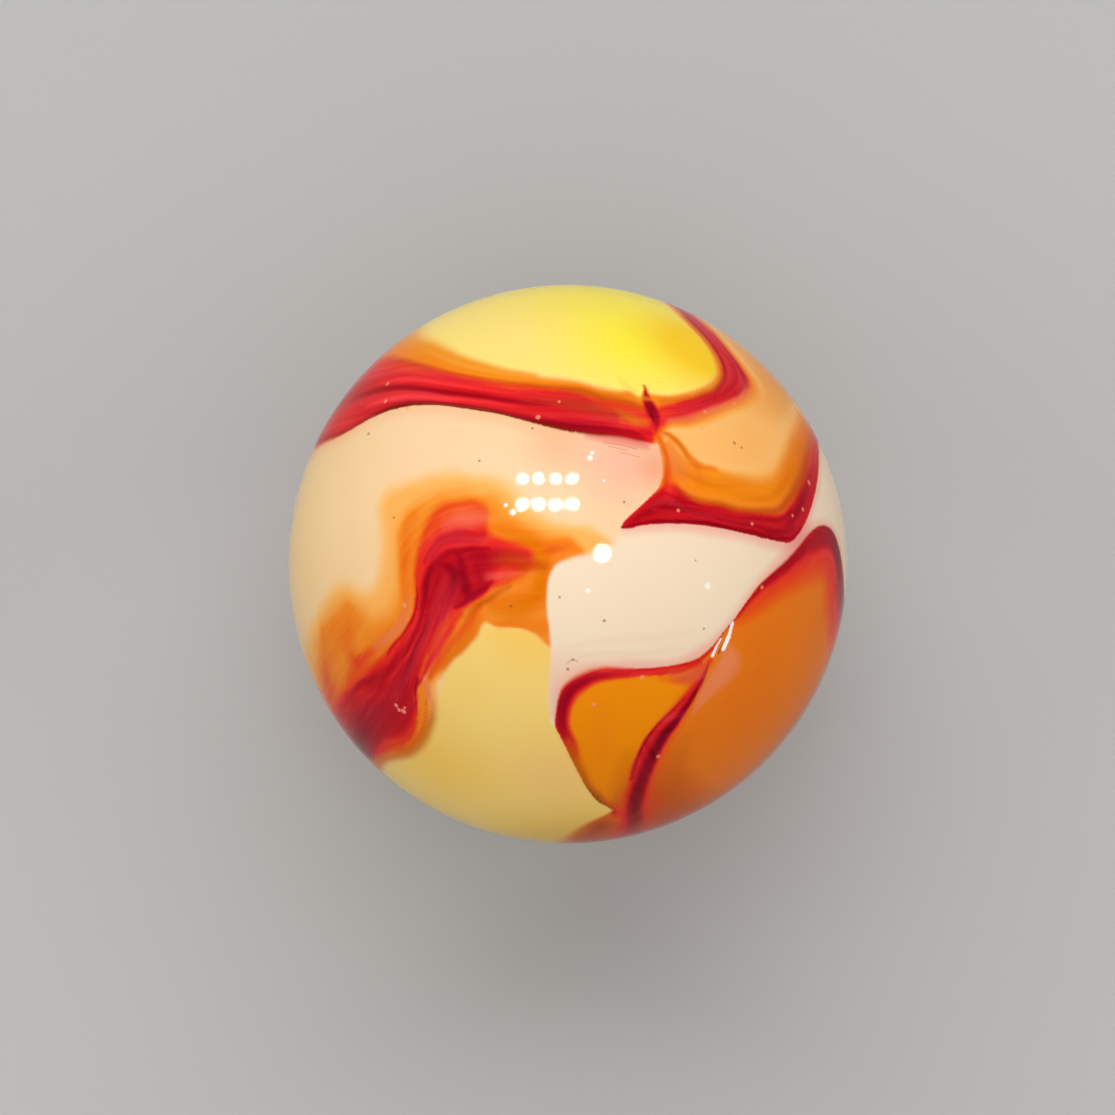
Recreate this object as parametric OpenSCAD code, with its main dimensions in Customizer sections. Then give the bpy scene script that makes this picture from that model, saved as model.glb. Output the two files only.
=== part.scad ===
// Glass playing marble: one solid ball of opaque swirled glass, 16 mm (5/8 in) across.
// The origin is the middle of the ball, +Z is up. One side of the ball, its face,
// looks up and a little towards the front, and the swirl and the fold crease are placed on it.
// The ball is one piece. Its swirl is fields of coloured glass that run from the face to the
// middle of the ball, beside each other, so that they join into one solid.

/* [Ball] */
// Diameter of the ball
ball_d = 16; // [12:0.5:25]
// Lean of the middle of the face from straight up towards the front, in degrees
face_lean = 12; // [0:1:45]

/* [Fold crease] */
// Length of the crease over the surface
crease_len = 1.35; // [0.8:0.05:1.5]
// Width of the crease
crease_w = 0.34; // [0.2:0.02:0.5]
// Depth of the crease under the round of the ball
crease_depth = 0.04; // [0.03:0.01:0.06]
// Middle of the crease, to the right of the middle of the face over the surface
crease_right = 4.55; // [3:0.05:6]
// Middle of the crease, below the middle of the face over the surface
crease_down = 2.2; // [1:0.05:3]
// Slope of the crease, in degrees from level
crease_slope = 58; // [30:1:80]

/* [Hidden] */

$fn = 72;

ball_r = ball_d / 2;

// The swirl is drawn flat, in millimetres over the surface of a ball of this radius to the
// right and up from the middle of the face, and grows with the ball
drawn_r = 8;

// Steps of a curve between two of its places
steps = 3;

// Pools of glass: places on their outlines
STRAW = [[-0.4, -1.9], [-1.5, -1.4], [-2.5, -1.5], [-3.6, -2.6], [-4.6, -4.6], [-5.4, -6.2],
         [-7.2, -7.8], [-10, -10.5], [-9, -14], [-4, -15.5], [1, -14], [3, -9], [1, -5]];
GLOW_HEAD = [[1, 0.5], [-0.6, 1.1], [-1.7, 2.1], [-3.3, 2.5], [-5, 2.1], [-5.2, 0.6], [-4.9, -1],
             [-3.8, -2.4], [-2.9, -2.3], [-2.3, -1.7], [-1.2, -1.75], [-0.4, -2.2], [0.4, -0.8]];
WHITE = [[1.4, 1.2], [0.9, 0.35], [-0.2, 0.05], [-0.6, -1.2], [-0.5, -3.2], [-0.3, -4.7], [2, -5],
         [7, -4], [12, -4], [16, -1.5], [16.5, 3], [13.5, 6.5], [10.4, 5.6], [8.4, 2.8], [7, 1.1],
         [4, 1.4]];
CAP = [[-11, 6], [-8.5, 5.6], [-5.5, 5.6], [-3, 5.1], [0, 4.3], [2.6, 4], [4.5, 4.9], [5.8, 6.3],
       [5.6, 8], [5, 11], [4.5, 15.5], [-2, 18], [-9, 15], [-14, 9]];
POCKET = [[1.8, 1.2], [2.4, 1.9], [2.7, 2.8], [2.5, 3.9], [4.5, 4.9], [5.8, 6.3], [5.6, 8], [5, 11],
          [6.5, 14.5], [11, 13], [13.5, 10], [10.4, 5.6], [8.4, 2.8], [7, 1.1], [4, 1.3]];
LOWER = [[1.5, -8.4], [0.4, -6.4], [-0.35, -4.6], [0, -3.4], [1.4, -2.95], [3.6, -2.85], [5, -1.5],
         [6.5, -0.1], [8.2, 1], [9.5, 1.1], [10.7, -0.4], [13, -1.9], [16.5, -4], [14, -12],
         [6, -18], [0, -15], [-0.4, -11.5], [0.5, -9.6]];

// Streams of glass: places on their middle lines, with the width there
GLOW_TAIL = [[-4, -1, 1.6], [-4.7, -2.6, 2.2], [-6, -4, 3.6], [-8, -5.6, 5], [-11, -8, 5]];
FLAME = [[-0.8, 0.25, 0.3], [-1.8, 0.2, 1], [-2.9, 0.45, 1.8], [-3.7, -0.3, 1.5], [-4, -1.5, 1.1],
         [-4.6, -2.8, 1.2], [-5.8, -4.4, 2.3], [-7.8, -6.4, 3], [-10.8, -9.2, 2.6]];
BAND_GLOW = [[-13, 10.5, 2], [-9, 8.8, 2], [-6.6, 7.8, 1.4], [-4.4, 6.5, 1], [-2, 5.5, 0.7],
             [0.5, 5.1, 0.6], [2.2, 4.7, 0.5], [3.2, 4.4, 0.3]];
BAND = [[-13, 7.5, 5], [-9.5, 6.4, 3.8], [-7, 6.15, 2.6], [-4.5, 5.6, 1.4], [-2, 4.8, 1], [0, 4.4, 1.1],
        [2, 4.15, 1.1], [3.4, 4.5, 0.7], [4.9, 5.4, 0.6], [5.8, 6.4, 0.9], [5.6, 8, 0.75],
        [5, 10, 0.8], [4.9, 13, 0.6]];
POCKET_GLOW = [[2.9, 2.3, 0.9], [4.5, 2, 1.2], [6.4, 2, 1.4], [7.9, 3.4, 1.4], [9.8, 6, 1.4],
               [12.5, 9, 1]];
BORDER = [[1.5, 1.05, 0.15], [2.6, 1.6, 1], [4, 1.4, 0.7], [6.2, 1.15, 0.85], [7.4, 1.6, 0.9],
          [8.4, 3, 0.7], [10, 5.2, 0.8], [12.5, 8.2, 0.8]];
RIM = [[1.5, -8.2, 0.15], [0.7, -6.7, 0.25], [0, -5, 0.4], [0, -3.8, 0.5], [0.9, -3.15, 0.4],
       [2.4, -3, 0.25], [3.9, -2.7, 0.15], [5.6, -1, 0.35], [7.4, 0.4, 0.7], [9.2, 0.9, 1],
       [10.4, -0.5, 1.2], [12, -3, 1.8]];
VEIN = [[4.2, -2.6, 0.15], [3.5, -4.2, 0.5], [2.6, -5.8, 0.8], [2.2, -7.6, 0.8], [2.5, -9.6, 1.2],
        [2.9, -13, 1.6]];

// Radius that a round tool needs, to cut a dent of this length and depth in the ball. Where
// even a flat tool would cut deeper, the tool is nearly flat and the dent comes out shorter
function dent_r(length, depth) =
    1 / max(8 * depth / (length * length) - 1 / ball_r, 0.05 / ball_r);

// The crease is the dent of a thin wheel: its radius gives the length, its rim the width
wheel_r = dent_r(crease_len, crease_depth);
rim_r = dent_r(crease_w, crease_depth);

// Angle that a length over the surface takes at the ball's middle
function arc_angle(length, r) = length / r * 180 / PI;

// Where a drawn place lies to the right and up when the face is looked at straight. A place
// round the back is put outside the ball, so that its field runs out over the edge
function seen(place) =
    let (away = max(norm([place.x, place.y]), 0.001), angle = arc_angle(away, drawn_r),
         reach = angle < 90 ? sin(angle) : angle / 90)
    ball_r * reach / away * [place.x, place.y];

// A share t of the way from b to c on a smooth curve through a, b, c and d
function between(a, b, c, d, t) =
    b + 0.5 * t * (c - a + t * (2 * a - 5 * b + 4 * c - d + t * (3 * b - a - 3 * c + d)));

// Edge of a stream on one side of its middle line
function bank(run, side) =
    let (n = len(run))
    [for (i = [0:n - 1])
        let (ahead = run[min(i + 1, n - 1)] - run[max(i - 1, 0)],
             across = [-ahead.y, ahead.x] / norm([ahead.x, ahead.y]))
        seen([run[i].x, run[i].y] + side * run[i].z / 2 * across)];

// A pool fills a smooth outline through its places
module pool(rows) {
    n = len(rows);
    polygon([for (i = [0:n - 1], j = [0:steps - 1])
        seen(between(rows[(i + n - 1) % n], rows[i], rows[(i + 1) % n], rows[(i + 2) % n], j / steps))]);
}

// A stream fills the space between the banks of a smooth line through its places
module stream(rows) {
    n = len(rows);
    run = [for (i = [0:n - 2], j = [0:steps - 1])
        between(rows[max(i - 1, 0)], rows[i], rows[i + 1], rows[min(i + 2, n - 1)], j / steps), rows[n - 1]];
    other = bank(run, -1);
    polygon(concat(bank(run, 1), [for (i = [len(other) - 1:-1:0]) other[i]]));
}

// Takes flat fields through the ball, from its middle plane to the face
module through() {
    linear_extrude(height = ball_r * 1.1)
        children();
}

// Turns +Z to the spot that lies so far to the right and up from the middle of the
// face, with +X pointing along the surface at the given slope
module at_face(right, up, slope) {
    away = sqrt(right * right + up * up);
    bearing = atan2(up, right);
    rotate([0, 0, bearing])
        rotate([0, arc_angle(away, ball_r), 0])
            rotate([0, 0, slope - bearing])
                children();
}

// Stretch of the wheel's rim that presses into the ball
module crease() {
    sweep = 2 * asin(crease_len / wheel_r);
    at_face(crease_right, -crease_down, crease_slope)
        translate([0, 0, ball_r - crease_depth + wheel_r])
            rotate([90, 0, 0])
                rotate([0, 0, -90 - sweep / 2])
                    rotate_extrude(angle = sweep)
                        translate([wheel_r - rim_r, 0])
                            circle(r = rim_r);
}

// Glass of one colour: the first field, without what the fields over it cover
module glass(colour) {
    color(colour)
        difference() {
            intersection() {
                sphere(r = ball_r);
                through()
                    difference() {
                        children(0);
                        for (k = [1:1:$children - 1]) children(k);
                    }
            }
            crease();
        }
}

// The fields of the swirl
module straw() pool(STRAW);
module glow() {
    pool(GLOW_HEAD);
    stream(GLOW_TAIL);
}
module flame() stream(FLAME);
module white() pool(WHITE);
module cap() pool(CAP);
module band_glow() stream(BAND_GLOW);
module pocket() pool(POCKET);
module pocket_glow() stream(POCKET_GLOW);
module ribbons() {
    stream(BAND);
    stream(BORDER);
}
module lower() pool(LOWER);
module veins() {
    stream(RIM);
    stream(VEIN);
}

// The ball with its face straight up
module upright_ball() {
    color("wheat")
        difference() {
            sphere(r = ball_r);
            through() {
                straw();
                glow();
                flame();
                white();
                cap();
                band_glow();
                pocket();
                ribbons();
                lower();
                veins();
            }
            crease();
        }
    glass("khaki") { straw(); glow(); flame(); white(); lower(); veins(); }
    glass("orange") { glow(); flame(); white(); }
    glass("crimson") flame();
    glass("ivory") { white(); pocket(); ribbons(); lower(); veins(); }
    glass("gold") { cap(); band_glow(); pocket(); ribbons(); }
    glass("orange") { band_glow(); pocket(); ribbons(); }
    glass("sandybrown") { pocket(); pocket_glow(); ribbons(); }
    glass("darkorange") { intersection() { pocket_glow(); pocket(); } ribbons(); }
    glass("crimson") ribbons();
    glass("chocolate") { lower(); veins(); }
    glass("firebrick") veins();
}

// The ball as it rests, with its face leaning to the front
module marble() {
    rotate([face_lean, 0, 0])
        upright_ball();
}

marble();
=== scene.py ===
import math

import bpy
import numpy as np
from mathutils import Matrix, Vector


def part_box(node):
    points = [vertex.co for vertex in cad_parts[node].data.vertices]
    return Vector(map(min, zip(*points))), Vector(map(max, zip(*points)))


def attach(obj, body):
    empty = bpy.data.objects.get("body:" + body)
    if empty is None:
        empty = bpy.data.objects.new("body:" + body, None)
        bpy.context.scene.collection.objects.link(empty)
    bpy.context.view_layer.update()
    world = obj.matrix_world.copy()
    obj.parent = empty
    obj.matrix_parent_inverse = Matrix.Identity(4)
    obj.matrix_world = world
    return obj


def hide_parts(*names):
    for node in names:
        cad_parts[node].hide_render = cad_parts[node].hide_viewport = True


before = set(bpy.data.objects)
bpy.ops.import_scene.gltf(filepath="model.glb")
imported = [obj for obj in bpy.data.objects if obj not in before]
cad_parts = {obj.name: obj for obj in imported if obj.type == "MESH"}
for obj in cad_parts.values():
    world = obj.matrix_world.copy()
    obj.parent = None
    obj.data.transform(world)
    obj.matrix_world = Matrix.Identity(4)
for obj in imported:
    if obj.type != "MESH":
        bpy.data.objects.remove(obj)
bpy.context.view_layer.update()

# A glass playing marble: one ball of opaque swirled glass. Its middle is the origin, and one
# side of it, the face, leans from +Z towards the front. Sizes in metres
BALL_LOW, BALL_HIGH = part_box("marble")
RADIUS = (BALL_HIGH.x - BALL_LOW.x) / 2
FACE_LEAN = math.radians(12)
FACE_RIGHT = np.array([1.0, 0.0, 0.0])
FACE_UP = np.array([0.0, math.cos(FACE_LEAN), math.sin(FACE_LEAN)])
FACE_OUT = np.array([0.0, -math.sin(FACE_LEAN), math.cos(FACE_LEAN)])
FACE_AXES = np.array([FACE_RIGHT, FACE_UP, FACE_OUT])

# The swirl is drawn on the face's chart: millimetres to the right and up from the middle of
# the face, measured over the surface of a ball of this radius
NOMINAL_RADIUS = 8.0
CHART_MM = RADIUS / NOMINAL_RADIUS

# Mesh of the ball: cells along a side of each of its six patches, and how much denser they are
# at the face than at the back
PATCH_CELLS = 128
FACE_DENSITY = 0.45
# Bake map: the columns and rows of patches, and the share that each leaves free at its sides
MAP_COLUMNS, MAP_ROWS = 3, 2
MAP_MARGIN = 0.01
# Places that agree to this many decimals of the radius are one
SHARED_DECIMALS = 7

# The fold crease, on the chart: its middle, its size, and its slope from level
CREASE_RIGHT, CREASE_UP = 4.55, -2.2
CREASE_LENGTH, CREASE_WIDTH, CREASE_DEPTH = 1.35, 0.34, 0.04
CREASE_SLOPE = math.radians(58)

# Drawing of the swirl, in millimetres: the step between a curve's samples, the least reach of
# a stream, the least softness of an outline, and how far off a line still counts as beside it
RUN_STEP = 0.05
LEAST_REACH = 0.02
LEAST_SOFTNESS = 0.01
LINE_REACH = 9
# How many places are compared with a line at once, to save memory
PLACES_AT_ONCE = 20000
# Keeps a division off zero
TINY = 1e-9

# Stirring: the length of each set of waves and its share of the movement, how many waves a set
# has, and how far they move the edges in each body of glass
STIR_WAVES = [(2.2, 0.9), (1.1, 0.5), (0.6, 0.25)]
WAVES_IN_SET = 4
STIR_SEED = 11
CREAM_STIR, TOP_STIR, LOWER_STIR = 0.05, 0.02, 0.03

# Colours of the plain glass
CREAM = (0.95, 0.64, 0.37)
CREAM_SHADE = (0.95, 0.66, 0.32)
CREAM_TAN = (0.90, 0.50, 0.28)
LOBE_PINK = (0.93, 0.49, 0.33)
LOBE_TIP_PINK = (0.90, 0.38, 0.22)
LOBE_ROSE = (0.82, 0.25, 0.19)
STRAW = (0.97, 0.66, 0.18)
STRAW_DEEP = (0.96, 0.56, 0.085)
STRAW_WARM = (0.97, 0.55, 0.20)
# Olive straw, used as painted shade towards the bottom rim
STRAW_AND_PAINTED_SHADE = (0.80, 0.45, 0.06)
MILK = (0.93, 0.73, 0.52)
MILK_PINK = (0.90, 0.34, 0.27)
MILK_LINE = (0.80, 0.42, 0.30)
CORNER_PINK = (0.85, 0.30, 0.26)
CORNER_PEACH = (0.90, 0.50, 0.36)
PALE_YELLOW = (1.0, 0.76, 0.20)
LEMON = (1.0, 0.85, 0.05)
GOLD = (1.0, 0.62, 0.018)
PEACH = (1.0, 0.49, 0.14)
PEACH_DEEP = (0.86, 0.33, 0.06)
BURNT = (0.84, 0.19, 0.009)
AMBER = (0.93, 0.27, 0.002)

# Colours of the glazes and the small marks, among them painted shade and painted highlights
PALE_PEACH = (0.95, 0.42, 0.16)
WARM_PEACH = (0.90, 0.30, 0.03)
FLUSH = (0.87, 0.26, 0.06)
FRINGE_ORANGE = (0.90, 0.30, 0.012)
BRIGHT_ORANGE = (0.92, 0.25, 0.005)
VIVID_ORANGE = (0.95, 0.30, 0.001)
DUSKY_ORANGE = (0.78, 0.20, 0.012)
DEEP_AMBER = (0.80, 0.17, 0.001)
DARK_AMBER = (0.66, 0.16, 0.008)
BROWN_AMBER = (0.45, 0.10, 0.002)
OCHRE = (0.62, 0.34, 0.004)
RUST = (0.55, 0.075, 0.003)
LIGHT_RUST = (0.62, 0.09, 0.002)
# Rusty red with painted shade, for the lower right rim
RIM_RUST_AND_SHADE = (0.52, 0.085, 0.002)
RED_RUST = (0.58, 0.045, 0.003)
RED_BROWN = (0.60, 0.055, 0.002)
# Brick red with painted shade, for the bottom right
BRICK_AND_RIGHT_SHADE = (0.50, 0.08, 0.008)
DARK_BRICK = (0.46, 0.032, 0.006)
# Dark brick red with painted shade, for the bottom
BRICK_AND_LOW_SHADE = (0.45, 0.04, 0.005)
DARK_BROWN = (0.20, 0.014, 0.001)
SALMON = (0.85, 0.22, 0.08)
PALE_SALMON = (0.86, 0.24, 0.09)
DEEP_SALMON = (0.78, 0.12, 0.045)
PINK = (0.95, 0.20, 0.11)
ROSE = (0.56, 0.022, 0.040)
SCARLET = (1.0, 0.035, 0.042)
DARK_SPECK = (0.16, 0.07, 0.03)
# Pale spots of bubbles and pits, partly painted highlights
PALE_PINK = (1.0, 0.30, 0.24)
PALE_BUBBLE_HIGHLIGHT = (0.97, 0.34, 0.17)
# White of painted highlights: glints on pits and on the crease
WHITE_LIGHT = (1.0, 0.96, 0.9)

# Strength of the red glass, called its tint, and the colour that it shows at that strength
RED_GLASS = [
    (0.00, (1.00, 0.62, 0.26)),
    (0.18, (1.00, 0.47, 0.11)),
    (0.36, (0.93, 0.27, 0.018)),
    (0.55, (0.84, 0.11, 0.008)),
    (0.65, (0.82, 0.045, 0.012)),
    (0.72, (0.80, 0.020, 0.022)),
    (0.80, (0.62, 0.009, 0.015)),
    (0.90, (0.38, 0.002, 0.012)),
    (1.00, (0.14, 0.001, 0.007)),
]
# The rise in tint over which the red glass's colours take over from the plain glass
TINT_FADE = 0.2
# Tint of the lower glass where no stream crosses it
LOWER_TINT = 0.42
# Tints between which the fine streaks set in, in each body of glass
CREAM_STREAKY, TOP_STREAKY, LOWER_STREAKY = (0.05, 0.6), (0.2, 0.75), (0.55, 0.85)

# The swirl's features, drawn on the chart.
# An outline's rows are places (right, up) and the softness of its edge there.
# A pool has its name, the tint inside it and its outline.
# A stream has its name, its softness from 0 to 1, and rows of a place on its middle line, its
# reach to either side and its tint there. Where the sides differ, a row has the reach to the
# left and then the reach to the right.
# A glaze is a stream of a named colour, whose rows end in its share instead of a tint.
# A patch is round and fades from its middle: its colour, its share, its middle, its reach.

# Seams of the bodies of glass that lie over the cream one: white, then the top, then the lower
WHITE_SEAM = [
    (1.44, .97, .06), (1.38, .75, .12), (1.25, .55, .15), (1.05, .42, .15), (.6, .28, .12),
    (.1, .16, .1), (-.3, -.02, .08), (-.48, -.3, .07), (-.56, -.8, .06), (-.56, -1.3, .06),
    (-.5, -1.8, .07), (-.46, -2.4, .07), (-.5, -3, .06), (-.55, -3.6, .05), (-.53, -4.1, .04),
    (-.42, -4.65, .04), (.3, -5, .1), (2.5, -5, .2), (6, -3, .2), (9.5, -.5, .3), (12.5, -3, .4),
    (15.5, -1.5, .6), (17.5, 2.5, .8), (15, 6.5, .6), (12, 6, .4), (8, 2.5, .2), (6, 2, .2),
    (3, 1.8, .1)]
TOP_SEAM = [
    (-10.9, 5, .2), (-10, 4.62, .15), (-9, 4.55, .12), (-8, 4.52, .08), (-7.5, 4.6, .06),
    (-6.5, 4.85, .05), (-5.7, 4.97, .04), (-5, 4.98, .03), (-4, 4.85, .03), (-3, 4.6, .03),
    (-2, 4.35, .03), (-1, 4.02, .04), (0, 3.74, .05), (.8, 3.62, .08), (1.5, 3.56, .1),
    (2.1, 3.45, .1), (2.4, 3.42, .08), (2.56, 3.45, .06), (2.64, 3.2, .05), (2.69, 2.8, .05),
    (2.66, 2.45, .05), (2.52, 2.12, .04), (2.25, 1.82, .03), (1.92, 1.52, .03), (1.65, 1.28, .03),
    (1.5, 1.1, .03), (1.46, .97, .03), (1.6, .96, .03), (2, 1.05, .03), (2.6, 1.11, .03),
    (3.3, 1.12, .03), (4.2, 1.05, .03), (5.2, .9, .03), (6, .76, .03), (6.6, .68, .03),
    (7.05, .69, .03), (7.4, .92, .03), (7.9, 1.45, .03), (8.4, 2.15, .03), (9, 3.1, .04),
    (9.6, 4.1, .06), (10.4, 5.1, .1), (10.8, 5.4, .12), (12.5, 7.8, .2), (14.5, 10, .2),
    (15, 13, .3), (12, 16, .3), (6, 18.5, .3), (0, 19, .3), (-6, 17.5, .3), (-11, 13.5, .3),
    (-14.5, 9, .3), (-14.5, 6, .3), (-12.5, 5.4, .25)]
LOWER_SEAM = [
    (1.5, -8.36, .08), (1.35, -8.15, .04), (1, -7.8, .03), (.7, -7.3, .03), (.35, -6.5, .03),
    (0, -5.6, .03), (-.2, -5.1, .03), (-.38, -4.6, .03), (-.34, -4.2, .04), (-.27, -3.8, .05),
    (-.18, -3.5, .07), (.1, -3.2, .1), (.5, -2.98, .12), (1, -2.86, .1), (1.6, -2.9, .07),
    (2.2, -2.93, .04), (3, -2.88, .04), (3.4, -2.82, .04), (3.8, -2.68, .04), (4.15, -2.42, .04),
    (4.5, -2.05, .03), (4.9, -1.6, .03), (5.3, -1.1, .03), (5.7, -.65, .04), (6.2, -.28, .06),
    (6.8, .12, .08), (7.4, .56, .06), (8, 1.03, .05), (8.5, 1.28, .04), (9.1, 1.36, .05),
    (9.6, 1.24, .06), (10.1, .8, .08), (10.5, .15, .1), (10.85, -.5, .12), (11.3, -1.2, .15),
    (11.9, -1.8, .2), (13, -2, .3), (14.5, -1.2, .3), (16.5, -1.5, .3), (17, -6, .3),
    (14.5, -12, .3), (10, -16.5, .3), (5, -18.5, .3), (1, -17, .3), (-.8, -14, .4), (-.5, -12, .4),
    (-.25, -11, .3), (.02, -10.2, .22), (.38, -9.5, .18), (.8, -8.97, .14), (1.25, -8.62, .1)]

# Cream glass: the patches of the glass itself, then the patches and the glaze over its blush
CREAM_BODY_PATCHES = [(CREAM_SHADE, 1, -9.5, 1, 6)]
CREAM_PATCHES = [
    (CREAM_TAN, 1, -.2, 3.5, 1.5), (LOBE_PINK, 1, 1.5, 2.9, 2), (LOBE_TIP_PINK, .8, 2.45, 2.7, .9)]
CREAM_GLAZES = [
    ("lobe blush", 1, LOBE_ROSE, [
        (.6, 3.62, .2, .9), (1.4, 3.5, .25, .9), (2.2, 3.35, .25, .2, .9)]),
]
# It blushes under the band, whose edge the first rows of the top seam are: how many rows, what
# the blush leaves of red, green and blue, its share, and its reach in millimetres
BAND_EDGE_ROWS = 20
BAND_BLUSH = (1.0, 0.72, 0.62)
BAND_BLUSH_SHARE, BAND_BLUSH_REACH = 0.55, 0.55
# Straw glass: its outline, the patches of the glass itself, and the patches over it; the last patch
# is painted shade, darker towards the bottom rim
STRAW_EDGE = [
    (-.45, -2.1, .2), (-.9, -1.7, .1), (-1.6, -1.5, .1), (-2.4, -1.5, .1), (-2.9, -2.2, .2),
    (-3.5, -3, .2), (-4.2, -4.6, .2), (-5.2, -6.2, .2), (-7, -7.6, .2), (-9, -9.2, .3),
    (-11, -12, .6), (-7, -15.5, .8), (-2, -16, .8), (2, -13, .5), (3, -9, .5), (2, -6, .5),
    (.5, -4, .4)]
STRAW_BODY_PATCHES = [(STRAW_DEEP, .55, -4.2, -6.5, 2.6), (STRAW_DEEP, .55, -1.2, -1.9, 1.6)]
STRAW_PATCHES = [(STRAW_WARM, .5, -.3, -6.5, 2.2), (STRAW_AND_PAINTED_SHADE, .7, .2, -10.2, 3.2)]
# Round spots where the fine streaks are fainter by a share: share, middle and reach
CREAM_CALM = [(.6, -3, 0, 2.2), (.7, -4.9, -5.9, 2)]
# The flame, and the line that its fine streaks follow
FLAME_LINE = [
    (1, .5), (-.8, .3), (-2.2, .2), (-3.3, -.1), (-3.75, -.9), (-4.1, -1.8), (-4.6, -2.8),
    (-5.3, -3.9), (-6.4, -5.2), (-7.6, -6.7), (-9, -8.3)]
FLAME_POOLS = [
    ("halo", .2, [
        (1.3, .5, .2), (.7, .95, .3), (-.3, 1.2, .3), (-1, 1.6, .4), (-1.6, 2.15, .45),
        (-2.2, 2.5, .42), (-3, 2.66, .42), (-3.9, 2.6, .42), (-4.7, 2.45, .45), (-5.4, 2.25, .5),
        (-5.75, 1.75, .5), (-5.65, 1.1, .5), (-5.6, .5, .5), (-5.65, -.1, .5), (-5.9, -.6, .5),
        (-6.4, -.75, .5), (-7, -.6, .45), (-7.7, -.8, .45), (-8.4, -1.4, .5), (-9.2, -2.1, .55),
        (-10.2, -3, .6), (-11.5, -4.4, .7), (-13, -6.5, .8), (-12, -9, .6), (-9, -9.6, .4),
        (-7.9, -8.7, .3), (-7, -7.7, .25), (-6.2, -6.95, .2), (-5.5, -6.45, .18), (-4.95, -6, .17),
        (-4.5, -5.4, .16), (-4.2, -4.8, .16), (-3.95, -4.4, .16), (-3.78, -3.9, .16),
        (-3.7, -3.4, .15), (-3.35, -2.9, .13), (-3, -2.5, .12), (-2.6, -2.1, .1),
        (-2.35, -1.67, .08), (-2, -1.72, .05), (-1.6, -1.72, .05), (-1.2, -1.78, .06),
        (-.9, -1.95, .08), (-.6, -2.25, .1), (-.3, -2.6, .1), (.3, -1.5, .1), (.9, 0, .1)]),
    ("orange", .4, [
        (.4, .35, .12), (0, .72, .2), (-.8, .95, .25), (-1.5, 1.3, .3), (-2.1, 1.85, .38),
        (-2.8, 2.02, .38), (-3.6, 1.97, .38), (-4.3, 1.75, .42), (-4.75, 1.35, .42),
        (-4.92, .8, .4), (-4.9, .3, .38), (-4.85, -.3, .38), (-4.95, -.9, .4), (-5.3, -1.5, .45),
        (-5.9, -1.75, .5), (-6.4, -1.45, .5), (-6.9, -1.2, .4), (-7.4, -1.4, .4), (-8, -1.9, .4),
        (-8.8, -2.8, .5), (-9.6, -4, .5), (-10.6, -5.4, .5), (-12, -7.5, .6), (-10.5, -9.3, .4),
        (-8.2, -8.6, .3), (-7, -7.35, .25), (-6.3, -6.7, .2), (-5.6, -6.3, .2), (-5.1, -5.85, .2),
        (-4.7, -5.35, .18), (-4.4, -4.8, .18), (-4.25, -4.3, .18), (-4.1, -3.9, .15),
        (-3.95, -3.5, .2), (-3.7, -3.2, .15), (-3.35, -2.8, .1), (-3.05, -2.5, .1),
        (-2.65, -2.05, .07), (-2.35, -1.62, .05), (-2, -1.69, .05), (-1.6, -1.69, .05),
        (-1.2, -1.75, .05), (-.9, -1.9, .06), (-.6, -2.2, .08), (-.2, -2.4, .1), (.2, -1.5, .1),
        (.4, -.4, .1)]),
    ("red", .69, [
        (-.95, .28, .4), (-1.25, .5, .32), (-1.7, .65, .22), (-2.1, .85, .16), (-2.2, 1.3, .16),
        (-2.35, 1.65, .2), (-2.8, 1.75, .25), (-3.3, 1.72, .25), (-3.75, 1.6, .25),
        (-4.05, 1.2, .25), (-4.25, .7, .2), (-4.38, .2, .15), (-4.42, -.4, .1), (-4.38, -1, .08),
        (-4.48, -1.4, .06), (-4.75, -1.85, .06), (-5.05, -2.2, .08), (-5.45, -2.6, .12),
        (-6, -3.05, .2), (-6.6, -3.35, .3), (-7.2, -3.9, .35), (-8, -4.5, .4), (-8.7, -5.1, .4),
        (-9.6, -6, .5), (-11, -8, .5), (-9.6, -9.1, .4), (-8.1, -8.35, .3), (-7.2, -7.3, .25),
        (-6.5, -6.5, .2), (-5.9, -6, .15), (-5.35, -5.7, .15), (-4.95, -5.3, .12), (-4.7, -4.8, .1),
        (-4.55, -4.2, .08), (-4.42, -3.6, .12), (-4.2, -3.1, .2), (-3.9, -2.5, .25),
        (-3.5, -1.95, .25), (-3.1, -1.5, .2), (-2.8, -1.2, .15), (-2.5, -.95, .14),
        (-2.1, -.7, .16), (-1.6, -.5, .24), (-1.2, -.25, .32), (-1, .03, .4)]),
    ("dark", .84, [
        (-2, .25, .25), (-2.4, .45, .12), (-3, .5, .12), (-3.55, .35, .15), (-3.95, 0, .12),
        (-4.18, -.5, .1), (-4.22, -1.1, .1), (-4.42, -1.7, .08), (-4.75, -2.2, .08),
        (-5.1, -2.6, .1), (-5.6, -3.1, .12), (-6.2, -3.45, .15), (-6.8, -3.75, .2),
        (-7.4, -4.35, .3), (-8.1, -5, .3), (-9, -5.8, .4), (-10, -7.2, .4), (-9, -8.3, .4),
        (-7.7, -7.6, .3), (-6.9, -6.75, .25), (-6.3, -6.1, .2), (-5.6, -5.65, .2),
        (-5.05, -5.15, .15), (-4.78, -4.6, .12), (-4.65, -4, .1), (-4.55, -3.5, .1),
        (-4.4, -3, .15), (-4.1, -2.4, .2), (-3.7, -1.8, .2), (-3.3, -1.35, .2), (-2.9, -1.05, .12),
        (-2.4, -.8, .1), (-2.15, -.35, .2)]),
]
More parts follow.
